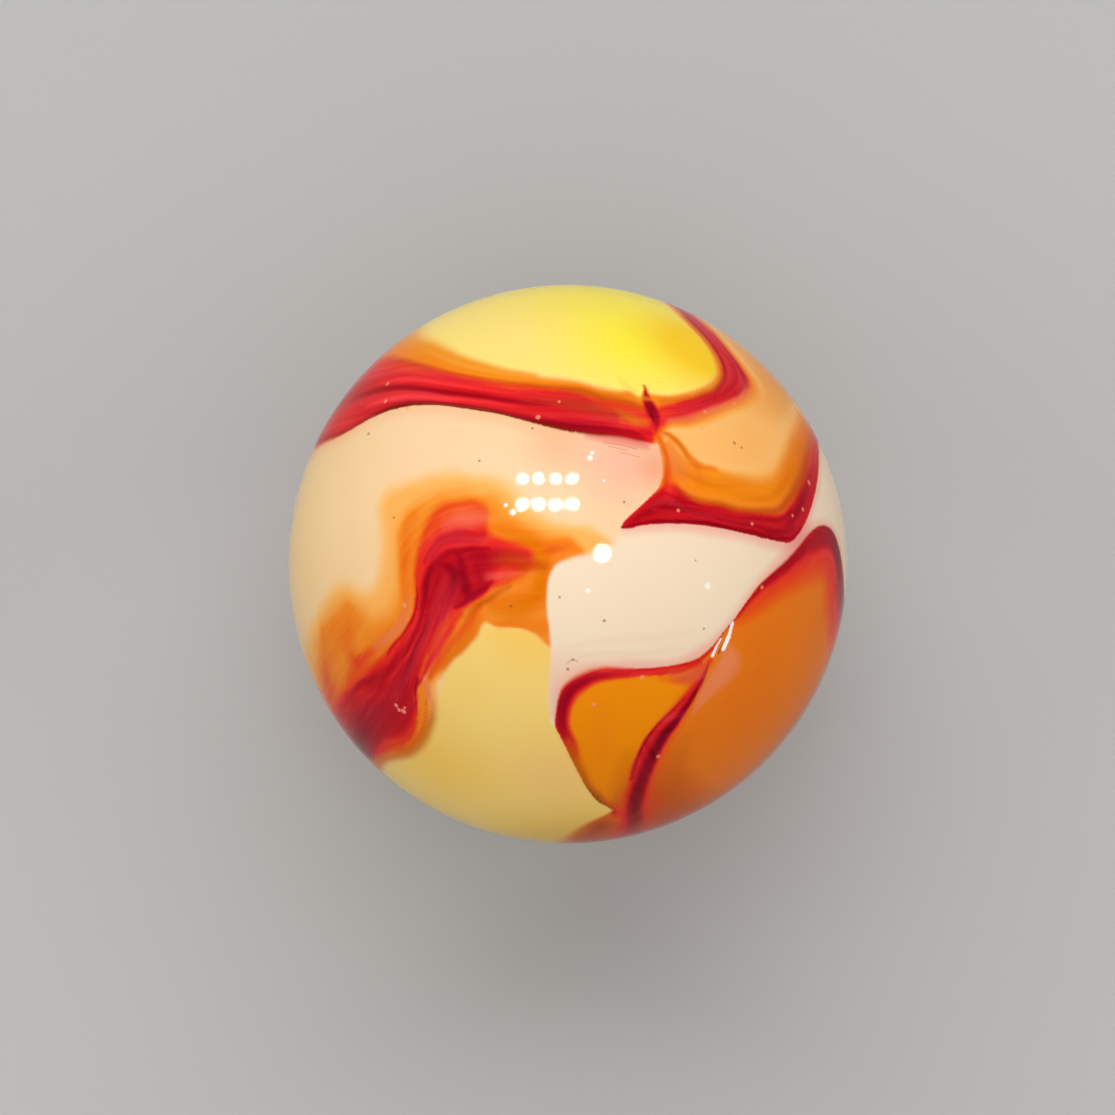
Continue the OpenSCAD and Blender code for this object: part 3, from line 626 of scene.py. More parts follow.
POCKET_GLAZES = [
    ("pocket flush", 1, FLUSH, [
        (2.8, 3.75, .15, .2, .4), (3, 3.3, .3, .7), (3.15, 2.8, .4, .35, .7), (3.3, 2.35, .3, .5)]),
    ("orange strip", 1, BRIGHT_ORANGE, [
        (3, 2.4, .3, .25, .5), (3.8, 2.2, .5, .35, .9), (4.8, 2.1, .6, .4, 1),
        (5.8, 2.05, .65, .4, 1), (6.7, 2.3, .7, .4, 1), (7.4, 3, .7, .4, 1), (8.1, 3.9, .6, .4, .9),
        (9, 4.9, .5, .4, .7)]),
    ("orange arm", 1, DEEP_AMBER, [
        (6.5, 2.1, .3, .3), (7.05, 2.7, .6, .4, .6), (7.75, 3.55, .75, .4, .75),
        (8.55, 4.45, .75, .45, .8), (9.45, 5.45, .7, .5, .8)]),
    ("pocket knot", 1, VIVID_ORANGE, [
        (3.85, 2.72, .1, .4), (4.25, 2.6, .16, .15, .9), (4.65, 2.66, .08, .5)]),
    ("pocket streak", 1, DEEP_AMBER, [
        (3.2, 2.6, .12, .1, .3), (3.7, 2.4, .18, .14, .6), (4.3, 2.28, .16, .14, .6),
        (4.9, 2.3, .12, .4), (5.4, 2.4, .08, .2)]),
    ("pocket drift", 1, DUSKY_ORANGE, [
        (3, 3.1, .1, .2), (3.2, 2.75, .14, .12, .5), (3.6, 2.5, .14, .12, .5),
        (4.1, 2.42, .1, .3)]),
    ("pocket low streak", 1, DEEP_AMBER, [
        (5, 1.98, .12, .1, .2), (5.6, 1.95, .16, .14, .5), (6.2, 2.02, .18, .14, .6),
        (6.8, 2.4, .2, .16, .6), (7.3, 3, .2, .16, .4)]),
    ("pocket smoke", 1, RUST, [
        (2.62, 3.85, .06, .3), (2.95, 3.72, .1, .4), (3.28, 3.42, .12, .1, .4),
        (3.48, 3.05, .1, .35), (3.7, 2.8, .09, .35), (4.05, 2.75, .06, .2)]),
    ("pocket smoke left", 1, RUST, [
        (2.66, 3.5, .06, .3), (2.82, 3.1, .09, .35), (2.9, 2.7, .08, .2)]),
    ("rust side", 1, RUST, [
        (3, 2.15, .12, .3), (3.6, 1.86, .15, .7), (4.3, 1.73, .16, .14, .8),
        (5.2, 1.62, .16, .14, .8), (6.1, 1.6, .2, .14, .8), (6.7, 1.72, .24, .16, .9),
        (7.1, 2.05, .3, .2, .9), (7.6, 2.6, .36, .25, .9), (8.1, 3.2, .4, .3, .9),
        (8.7, 4, .4, .3, .7), (9.4, 4.9, .4, .3, .5)]),
    ("brown side", 1, RED_BROWN, [
        (5.6, 1.62, .12, .3), (6.6, 1.7, .16, .14, .5), (7.1, 2.02, .2, .16, .6),
        (7.6, 2.56, .22, .18, .6), (8.1, 3.16, .22, .18, .5), (8.6, 3.86, .22, .18, .3)]),
    ("rose light", 1, ROSE, [
        (2.3, 1.6, .1, .4), (2.8, 1.75, .2, .16, .6), (3.3, 1.55, .12, .4), (4.2, 1.32, .06, .3)]),
]

# White glass
WHITE_GLAZES = [
    ("pink under the border", 1, MILK_PINK, [
        (1.5, 1, .35, .6), (3, 1.1, .35, .6), (5, .9, .35, .6), (7.1, .7, .35, .6),
        (8.4, 2.2, .35, .6), (9.6, 4.1, .35, .6), (11, 6, .35, .6)]),
    ("pink over the lower glass", 1, MILK_PINK, [
        (-.3, -4.3, .35, .6), (-.2, -3.6, .35, .6), (.4, -3, .35, .6), (1.5, -2.85, .35, .6),
        (3.2, -2.85, .35, .6), (4.5, -2.1, .35, .6), (5.7, -.7, .35, .6), (7.2, .5, .35, .6),
        (8.6, 1.3, .35, .6), (9.8, 1.1, .35, .6), (10.8, -.4, .35, .6)]),
    ("faint line", 1, MILK_LINE, [
        (-.2, -2.75, .1, .1), (.7, -2.5, .16, .2), (2, -2.5, .16, .18), (3.3, -2.4, .14, .1)]),
    ("second faint line", 1, MILK_LINE, [
        (-.1, -2.3, .1, .1), (1, -2.1, .2, .13), (2.4, -2.05, .2, .1), (3.6, -1.9, .16, .05)]),
]
WHITE_PATCHES = [(CORNER_PINK, .9, 7.5, .75, 1.1), (CORNER_PEACH, .6, -.2, -3.4, 1.4)]

# Lower glass: burnt orange, and to the right of this line, with an edge this soft to either
# side, the amber triangle
TRIANGLE_LINE = [
    (4.3, -2.3), (3.9, -3.4), (3.2, -4.6), (2.5, -5.8), (2.3, -7.2), (2.3, -9.5), (2.7, -13)]
TRIANGLE_SOFTNESS = 0.2
LOWER_CALM = [(.8, 2.8, -11.6, 3.6)]
LOWER_STREAMS = [
    ("bridge", .9, [
        (2.6, -3.3, .25, .15, .52), (3.2, -3.35, .35, .3, .58), (3.8, -3.15, .3, .35, .62),
        (4.2, -2.8, .2, .62)]),
    ("triangle rim", .9, [
        (4.4, -2.3, .05, .7), (3.9, -2.72, .15, .1, .68), (3.2, -3, .2, .66),
        (2.4, -3.05, .2, .3, .7), (1.6, -3.08, .26, .4, .78), (1, -3.1, .32, .4, .84),
        (.45, -3.26, .42, .4, .89), (.02, -3.6, .46, .45, .91), (-.18, -4, .42, .45, .92),
        (-.22, -4.5, .36, .45, .9), (-.12, -5, .32, .45, .84), (.05, -5.4, .32, .45, .7),
        (.25, -5.9, .38, .45, .55), (.5, -6.5, .42, .45, .5), (.85, -7.1, .42, .45, .5),
        (1.15, -7.6, .36, .45, .52), (1.5, -8.1, .3, .4, .58), (1.8, -8.6, .3, .4, .7)]),
    ("vein halo", 1, [
        (3.9, -3.3, .3, .45, .6), (3.4, -4.2, .6, .61), (2.8, -5.2, 1, .75, .62),
        (2.45, -6.2, 1.3, .8, .61), (2.3, -7.2, 1.5, .9, .62), (2.35, -8.3, 1.8, 1.2, .64),
        (2.5, -9.5, 2, 1.6, .66), (2.8, -11, 2.4, 2.2, .68), (3.3, -13, 2.4, .68),
        (4.8, -15.2, 1.8, .64), (7.2, -16.2, 1.2, .58)]),
    ("vein red", .9, [
        (4.15, -2.85, .1, .76), (3.95, -3.4, .14, .22, .78), (3.6, -4, .18, .34, .8),
        (3.1, -4.7, .3, .46, .82), (2.65, -5.4, .38, .46, .84), (2.4, -6.2, .4, .44, .84),
        (2.3, -7.1, .4, .84), (2.28, -8.1, .4, .84), (2.4, -9.2, .5, .85), (2.6, -10.4, .7, .85),
        (2.9, -12, .8, .84), (3.6, -13.8, .7, .82), (5, -15.2, .5, .78), (6.8, -15.8, .3, .72)]),
    ("vein core", .8, [
        (4.1, -3.05, .08, .86), (3.9, -3.55, .1, .92), (3.62, -4.1, .13, .14, .95),
        (3.25, -4.7, .2, .97), (2.9, -5.2, .26, .98), (2.65, -5.8, .26, .97),
        (2.5, -6.4, .28, .3, .95), (2.38, -7.2, .3, .34, .95), (2.32, -8, .3, .34, .96),
        (2.4, -8.8, .28, .3, .95), (2.5, -9.5, .3, .92), (2.6, -10.3, .3, .91), (2.9, -12, .35, .9),
        (3.6, -13.7, .3, .88), (4.9, -15, .2, .84)]),
    ("vein shine", 1, [
        (3.6, -3.75, .1, .72), (3.2, -4.35, .11, .72), (2.8, -4.85, .1, .74),
        (2.5, -5.25, .08, .78), (2.3, -5.8, .08, .82)]),
    ("vein left edge", .9, [
        (3.45, -3.95, .06, .8), (3, -4.4, .08, .86), (2.55, -4.9, .09, .88), (2.28, -5.4, .1, .9),
        (2.12, -6, .1, .88), (2.02, -6.8, .09, .86)]),
    ("crescent glow", 1, [
        (4.9, -1.5, .3, .7, .6), (5.4, -1.2, .3, 1, .61), (6.2, -.6, .3, 1.2, .65),
        (7, -.1, .4, 1.5, .67), (7.8, .4, .5, 1.8, .69), (8.6, .7, .6, 2.1, .7),
        (9.4, .6, .8, 2.2, .72), (10, -.1, .9, 2.2, .73), (10.3, -1.1, 1.2, 2.1, .74),
        (11, -2.1, 1.5, 1.9, .74), (12.3, -2.7, 1.5, .75), (14.3, -2.4, 1.3, 1.4, .7),
        (16, -3.6, 1.2, 1.3, .66), (15.8, -8.2, 1.1, 1.2, .62), (13.4, -12.2, 1, 1.1, .6),
        (9.8, -15.4, 1, 1.1, .58), (6, -17.2, 1, 1.1, .56)]),
    ("crescent rim", .8, [
        (5, -1.55, .1, .06, .74), (5.5, -1, .12, .78), (6, -.58, .2, .18, .84),
        (6.6, -.2, .25, .87), (7.2, .18, .3, .32, .88), (7.9, .6, .4, .42, .88), (8.6, .9, .5, .89),
        (9.3, .95, .5, .55, .91), (9.8, .7, .5, .6, .94), (10.2, .1, .5, .65, .95),
        (10.4, -.6, .7, .93), (10.9, -1.5, .9, .7, .92), (11.6, -2.1, .8, .7, .9),
        (12.7, -2.5, .7, .89), (14.2, -2.1, .6, .65, .88), (15.6, -2.5, .55, .6, .88),
        (16.4, -5.2, .5, .55, .87), (15.5, -8.8, .45, .5, .85), (13.2, -12.6, .38, .42, .82),
        (9.8, -15.8, .3, .34, .78), (6.4, -17.4, .2, .24, .7)]),
    ("crescent thread", .7, [
        (4.2, -2.4, .05, .8), (4.7, -1.83, .05, .82), (5.3, -1.15, .06, .05, .84),
        (5.8, -.65, .08, .06, .86), (6.4, -.2, .1, .06, .86), (7, .22, .1, .06, .84),
        (7.6, .66, .1, .06, .84), (8.3, 1.12, .1, .07, .86), (9, 1.28, .12, .08, .9),
        (9.6, 1.16, .14, .1, .94), (10.1, .66, .16, .12, .96), (10.5, -.1, .16, .12, .94)]),
    ("triangle thread", .9, [
        (.8, -2.95, .07, .66), (1.5, -2.98, .08, .74), (2.2, -2.98, .08, .78), (3, -2.93, .08, .79),
        (3.5, -2.85, .09, .79), (3.9, -2.69, .1, .79), (4.2, -2.42, .09, .79)]),
    ("triangle second thread", .9, [
        (1.8, -3.14, .07, .7), (2.6, -3.15, .08, .74), (3.3, -3.08, .08, .74),
        (3.9, -2.86, .08, .7)]),
]
LOWER_GLAZES = [
    ("peach patch", .7, PALE_SALMON, [
        (4.7, -2.5, .3, .2, .6), (4.75, -2.9, .7, .4, .9), (4.55, -3.3, .62, .42, .9),
        (4.25, -3.7, .42, .36, .85), (4, -4.1, .26, .22, .7), (3.8, -4.5, .12, .3)]),
    ("bridge salmon", 1, DEEP_SALMON, [
        (2.9, -3.2, .2, .1, .4), (3.4, -3.3, .35, .25, .8), (3.8, -3.15, .3, .8),
        (4.1, -2.85, .15, .12, .7)]),
    ("ember side", 1, RUST, [
        (3.6, -5.4, .5, .2), (3.4, -6.6, .9, .5), (3.6, -8, 1.4, 1.2, .7), (4, -9.6, 2.2, 1.8, .8),
        (4.5, -11.5, 3, .8)]),
    ("triangle foot", 1, RUST, [(1.8, -5.8, .4, .2), (1.7, -7, .5, .3), (1.7, -8, .4, .5)]),
    ("triangle light", 1, BRIGHT_ORANGE, [
        (.9, -3.9, .4, .7), (1, -4.8, .5, .8), (1.1, -5.8, .4, .6)]),
    ("triangle side", .9, BROWN_AMBER, [
        (-.05, -5.2, .22, .2, .3), (.1, -5.7, .26, .2, .6), (.35, -6.4, .26, .2, .7),
        (.7, -7.1, .26, .2, .7), (1, -7.6, .26, .2, .8), (1.35, -8.1, .22, .2, .8)]),
    ("triangle edge", .8, DARK_BROWN, [
        (.5, -6.75, .06, .1, .3), (.75, -7.3, .07, .1, .6), (1.05, -7.8, .08, .1, .7),
        (1.4, -8.2, .1, .7), (1.6, -8.5, .12, .5)]),
    # Painted shade: the glass's own red-brown, darkened further towards the bottom rim
    ("low shade", 1, BRICK_AND_LOW_SHADE, [
        (1.3, -8.6, .35, .4), (1.15, -9.2, .8, .85), (.95, -10, 1.2, .85), (.9, -11, 1.4, .8),
        (1.1, -12.5, 1.4, .7), (2, -14.5, 1.2, .5), (3.6, -16.2, .8, .3)]),
    # Painted shade: red-brown glass darkened towards the lower right rim
    ("low shade right", 1, BRICK_AND_RIGHT_SHADE, [
        (3.6, -9, .8, .2), (4.2, -10.2, 1.6, .4), (4.8, -11.6, 2.2, .5), (6, -13, 2.2, .3)]),
    # Partly the glass's own rusty red, partly painted shade darkening it towards the lower right
    # rim
    ("rim shade", 1, RIM_RUST_AND_SHADE, [
        (12, -3.2, 1.4, 1.6, .2), (11.2, -5, 2.2, 2.4, .4), (9.7, -7, 2.4, 2.6, .5),
        (7.8, -8.9, 2.4, 2.6, .5), (5.6, -10.4, 2.4, .45), (3.6, -11.4, 1.8, .3)]),
]

# The red ribbon that joins the band and the flame round the back
BACK_RIBBON = [
    ("back wisp", 1, [
        (-15.6, 4.6, .4, .3), (-17.6, 2.8, .6, .34), (-19.4, .4, .7, .8, .34),
        (-20.6, -2.5, .7, .9, .3), (-21.2, -6.5, .5, .8, .22), (-20.6, -10, .3, .5, .14)]),
    ("back curl", 1, [
        (-12.4, -8.8, .5, .36), (-12.8, -11, .7, .8, .36), (-12, -13.2, .8, .9, .34),
        (-10.4, -15.6, .7, .9, .3), (-7.6, -17.6, .5, .8, .22), (-4, -18.6, .3, .5, .14)]),
    ("back glow", 1, [
        (-9.8, 8.6, 2.2, 2.4, .4), (-11.8, 8.2, 3, 2.8, .42), (-13.8, 7, 3, 2.7, .42),
        (-15.8, 4.4, 2.5, 2.4, .41), (-16.9, .5, 2, 2.2, .4), (-16.6, -3.6, 1.8, 2, .4),
        (-15, -7, 1.8, 2, .4), (-12.7, -9.3, 2, 2.1, .41), (-10.2, -9.8, 1.8, 1.2, .42),
        (-8.5, -8.7, 1.2, .4, .42)]),
    ("back red", 1, [
        (-9.8, 7.6, 2, .74), (-11.8, 7.6, 2.4, 2.2, .76), (-13.6, 6.6, 2.3, 2.1, .77),
        (-15.4, 4.2, 1.8, .76), (-16.4, .5, 1.3, 1.5, .74), (-16.1, -3.4, 1.1, 1.3, .74),
        (-14.6, -6.6, 1.2, 1.4, .76), (-12.4, -8.8, 1.4, 1.5, .78), (-10.2, -9.2, 1.4, 1, .82),
        (-8.6, -8.1, 1, .5, .84)]),
    ("back bright", 1, [
        (-11.8, 8.7, .5, .7), (-13.9, 7.5, .5, .7), (-15.9, 4.6, .45, .69), (-17, .5, .35, .68),
        (-16.7, -3.6, .3, .68), (-15.2, -7, .35, .7), (-12.8, -9.5, .4, .74),
        (-10.4, -9.7, .3, .76)]),
    ("back deep", 1, [
        (-9.8, 6.8, .7, .86), (-11.6, 6.9, .8, .88), (-13.3, 6, .8, .9), (-15, 3.8, .7, .9),
        (-16, .5, .5, .55, .89), (-15.8, -3.3, .45, .5, .89), (-14.3, -6.4, .55, .6, .91),
        (-12.1, -8.5, .7, .8, .93), (-10.2, -8.9, .9, .95), (-8.8, -8, .8, .95)]),
    ("back thread", 1, [
        (-10.6, 8.2, .2, .82), (-12.4, 7.9, .25, .86), (-14.2, 6.4, .25, .87),
        (-15.8, 3.9, .22, .87), (-16.6, .3, .2, .85), (-16.3, -3.6, .18, .85),
        (-14.8, -6.9, .18, .86), (-12.6, -9.2, .2, .88)]),
]
# The thin ribbon round the far side of the peach glass, from the hook to the border, and the
# far edge of the yellow glass
FAR_LOOP = [
    ("loop glow", 1, [
        (4.85, 10.5, .6, .9, .4), (5, 12.6, .7, 1.1, .42), (5.7, 14.8, .8, 1.2, .42),
        (7.6, 16.4, .8, 1.2, .42), (10.4, 16.2, .8, 1.2, .42), (12.9, 14.2, .8, 1.2, .42),
        (14, 11.6, .8, 1.2, .42), (13.4, 9.2, .8, 1.3, .42), (11.9, 7.3, .7, 1.4, .44),
        (10.6, 5.9, .6, 1.2, .46)]),
    ("loop red", 1, [
        (4.85, 10.2, .5, .82), (4.9, 12.2, .45, .5, .82), (5.5, 14.6, .42, .5, .8),
        (7.3, 16.5, .4, .5, .79), (10.4, 16.5, .38, .5, .78), (13.2, 14.4, .38, .5, .79),
        (14.3, 11.6, .4, .5, .8), (13.6, 9, .42, .55, .82), (12, 7, .42, .55, .83),
        (10.7, 5.6, .4, .5, .84)]),
    ("loop dark", 1, [
        (4.8, 10.2, .2, .88), (4.8, 12.2, .2, .88), (5.4, 14.7, .18, .87), (7.2, 16.65, .16, .86),
        (10.5, 16.65, .15, .85), (13.35, 14.5, .15, .86), (14.45, 11.6, .16, .87),
        (13.7, 8.9, .18, .88), (12.1, 6.9, .18, .89)]),
    ("cap end glow", 1, [
        (-14, 9.6, 1, 1.6, .42), (-12.4, 12.4, 1, 1.5, .4), (-9.6, 15, 1, 1.4, .38),
        (-6, 17, 1, 1.3, .36), (-1.5, 18.3, 1, 1.2, .32), (3, 18.4, 1, .28), (6, 17.8, .8, .2)]),
    ("cap end red", 1, [
        (-14.4, 9.2, .8, .9, .78), (-12.8, 12.4, .6, .7, .76), (-9.8, 15.2, .45, .5, .72),
        (-6.2, 17.3, .35, .66), (-2, 18.5, .3, .56), (2, 18.7, .2, .42)]),
    ("cap end dark", 1, [
        (-14.4, 9, .35, .88), (-12.9, 12.4, .25, .86), (-10, 15.3, .18, .82),
        (-6.6, 17.3, .12, .76)]),
]

# Small marks: name, colour, share and rows. A round mark's row has its place and its reach, a
# stroke's has the places of both ends and its reach
SMALL_MARKS = [
    ("dark specks", DARK_SPECK, 0.6, [
        (-2.5, 2.92, .05), (-6.5, 4.25, .066), (-5.13, 1.37, .05), (-1.55, -1.15, .054),
        (-.22, -.9, .048), (1, -1.55, .06), (3.9, -1.85, .048), (0, -2.92, .06), (5.1, 3.7, .066),
        (5.35, 3.58, .05), (1.55, 1.7, .048), (-1, 3.85, .048), (.15, -2.65, .048),
        (3.6, .1, .036)]),
    ("hairlines", RED_BROWN, 0.28, [
        (1, 3.42, 1.5, 3.36, .035), (1.5, 3.36, 1.95, 3.24, .035), (1.15, 3.3, 1.7, 3.2, .03),
        (1.5, 3.12, 2, 3.02, .025), (0, -2.75, .12, -2.62, .035), (.12, -2.62, .28, -2.7, .035)]),
    # Pale spots of small bubbles and pits, partly painted highlights where they catch the light
    ("pale bubbles and highlights", PALE_BUBBLE_HIGHLIGHT, 0.6, [
        (-5.05, 4.92, .086), (-6.2, 6.2, .092), (-6.05, 5.4, .086), (-.85, 4.2, .092),
        (.22, 3.7, .059), (-.25, 4.7, .059), (4.2, 4.65, .066), (5.35, 5.15, .066), (4, 4.05, .066),
        (8.3, 2.8, .106), (7.75, 1.8, .079), (7.2, 1.55, .066), (5.5, 1.2, .066), (3.1, 1.5, .066),
        (5.85, -.7, .073), (2.1, -3.2, .079), (.75, -4, .073), (2.8, -5.95, .086),
        (-4.75, -1.2, .086), (-5.25, -.45, .059)]),
    ("pink bubbles and highlights", PALE_PINK, 0.8, [
        (-5.4, -4.45, .084), (-5.32, -4.6, .084), (-5.15, -4.62, .105), (-5.08, -4.48, .056)]),
    # Painted shadow: a dark stroke down the crease, between its glints
    ("painted crease shadow", DARK_BROWN, 0.6, [
        (4.42, -2.62, 4.62, -2.22, .04), (4.62, -2.22, 4.78, -1.86, .035)]),
    # Painted highlights: white glints on pits and on the walls of the crease
    ("painted small glints", WHITE_LIGHT, 0.9, [
        (.62, 2.95, .098), (.68, 3.1, .075), (.55, -.72, .09), (3.98, -.62, .12), (-1.5, 1.42, .12),
        (-1.7, 1.62, .075), (1, 2.3, .045)]),
    ("painted crease glints", WHITE_LIGHT, 0.95, [
        (4.24, -2.68, 4.36, -2.42, .07), (4.36, -2.42, 4.5, -2.2, .06),
        (4.58, -2.5, 4.74, -2.14, .08), (4.74, -2.14, 4.84, -1.74, .065)]),
]

# Fine streaks: their noise, how fast it changes over a millimetre of grain, and their depth
# where the glass is calm. A drift of its own depth lies over all of the glass
STREAK_NOISE = {"Scale": 160.0, "Detail": 4.0, "Roughness": 0.6}
GRAIN_SCALE = 0.025
CALM_STREAKS = 0.04
DRIFT_NOISE = {"Scale": 350.0, "Detail": 3.0, "Roughness": 0.5}
DRIFT_DEPTH = 0.2
NOISE_MIDDLE = 0.5
# Faint ripple of the surface, and its gloss
RIPPLE_NOISE = {"Scale": 500.0, "Detail": 2.0}
RIPPLE = {"Strength": 0.05, "Distance": 0.00002}
GLASS_SURFACE = {"Roughness": 0.05, "IOR": 1.5, "Specular IOR Level": 0.04}
# Distances inside a seam count in its softness, and are kept within this range
SEAM_RANGE = 4

# The camera's frame is this many pixels square, and the ball has this middle and half width
IMAGE_PIXELS = 1115
BALL_COLUMN, BALL_ROW, BALL_PIXELS = 567.7, 564.0, 279.5
CAMERA_DISTANCE = 0.140
FOCAL_PIXELS = BALL_PIXELS / math.tan(math.asin(RADIUS / CAMERA_DISTANCE))
SENSOR_MM = 36.0
CLIP_NEAR, CLIP_FAR = 0.001, 10

# Lamps. Small round panels are mirrored as glints, in rows: the glints' places to the right,
# each row's place up and the width of its glints, and one round glint by itself
LAMP_DISTANCE = 0.6
GLINT_COLUMNS = (-1.25, -0.8, -0.33, 0.12)
GLINT_ROWS = [(2.35, 0.34), (1.63, 0.38)]
ROUND_GLINT, ROUND_GLINT_SIZE = (0.93, 0.3), 0.5
PANEL_STRENGTH = 220.0
# Soft lamps: name, the place of the face that would mirror it, its width and height, and its
# strength for its area
SOFT_LAMPS = [
    ("front_soft_lamp", (0, -2.2), 1.2, 0.8, 1.0),
    ("back_soft_lamp", (-0.3, 4.0), 1.3, 0.6, 1.75),
    ("left_soft_lamp", (-4.5, 0.0), 0.6, 0.5, 1.35),
    ("right_soft_lamp", (4.5, 0.0), 0.6, 0.5, 1.3),
]

# The room: what is seen of the world and the floor is pale, and the light they give is weak
WORLD_LIGHT = (0.035, 0.035, 0.035)
WORLD_COLOUR = (0.50, 0.495, 0.485)
FLOOR_COLOUR = (0.45, 0.445, 0.435)
FLOOR_BOUNCE = (0.12, 0.12, 0.12)
FLOOR_SURFACE = {"Roughness": 0.9, "Specular IOR Level": 0.1}
FLOOR_REACH = 0.6


def on_ball(right, up):
    """Unit vectors of chart places: the reach from the face's middle is an arc of the ball."""
    right, up = np.asarray(right, float), np.asarray(up, float)
    reach = np.hypot(right, up)
    angle = reach / NOMINAL_RADIUS
    scale = np.sin(angle) / np.maximum(reach, TINY)
    return np.stack([right * scale, up * scale, np.cos(angle)], axis=-1)


def on_chart(places):
    """Chart places of unit vectors, the reverse of on_ball."""
    flat = np.hypot(places[:, 0], places[:, 1])
    scale = NOMINAL_RADIUS * np.arctan2(flat, places[:, 2]) / np.maximum(flat, TINY)
    return places[:, 0] * scale, places[:, 1] * scale


def smooth_run(rows, closed=False):
    """A smooth curve through rows of values: cubic pieces whose slopes are the central
    differences over the length along the first two columns."""
    rows = np.array(rows, float)
    if closed:
        rows = np.vstack([rows[-2:], rows, rows[:3]])
    length = np.concatenate([[0], np.cumsum(np.hypot(*np.diff(rows[:, :2], axis=0).T))])
    slope = np.gradient(rows, length, axis=0)
    start, end = (length[2], length[-3]) if closed else (length[0], length[-1])
    at = np.linspace(start, end, max(int((end - start) / RUN_STEP), 2) + 1)
    i = np.clip(np.searchsorted(length, at, side="right") - 1, 0, len(rows) - 2)
    span = (length[i + 1] - length[i])[:, None]
    x = (at[:, None] - length[i][:, None]) / span
    return ((1 + 2 * x) * (1 - x) ** 2 * rows[i] + x * (1 - x) ** 2 * span * slope[i]
            + x * x * (3 - 2 * x) * rows[i + 1] + x * x * (x - 1) * span * slope[i + 1])


def smooth_step(low, high, value):
    """Rises from 0 at low to 1 at high: 3 x squared less 2 x cubed of the share x between."""
    x = np.clip((value - low) / (high - low), 0, 1)
    return x * x * (3 - 2 * x)


def blend(under, over, share):
    """The share of the way from values, or from colours in rows, to others."""
    share = share[:, None] if np.ndim(under) > 1 and np.ndim(share) == 1 else share
    return under + (over - under) * share


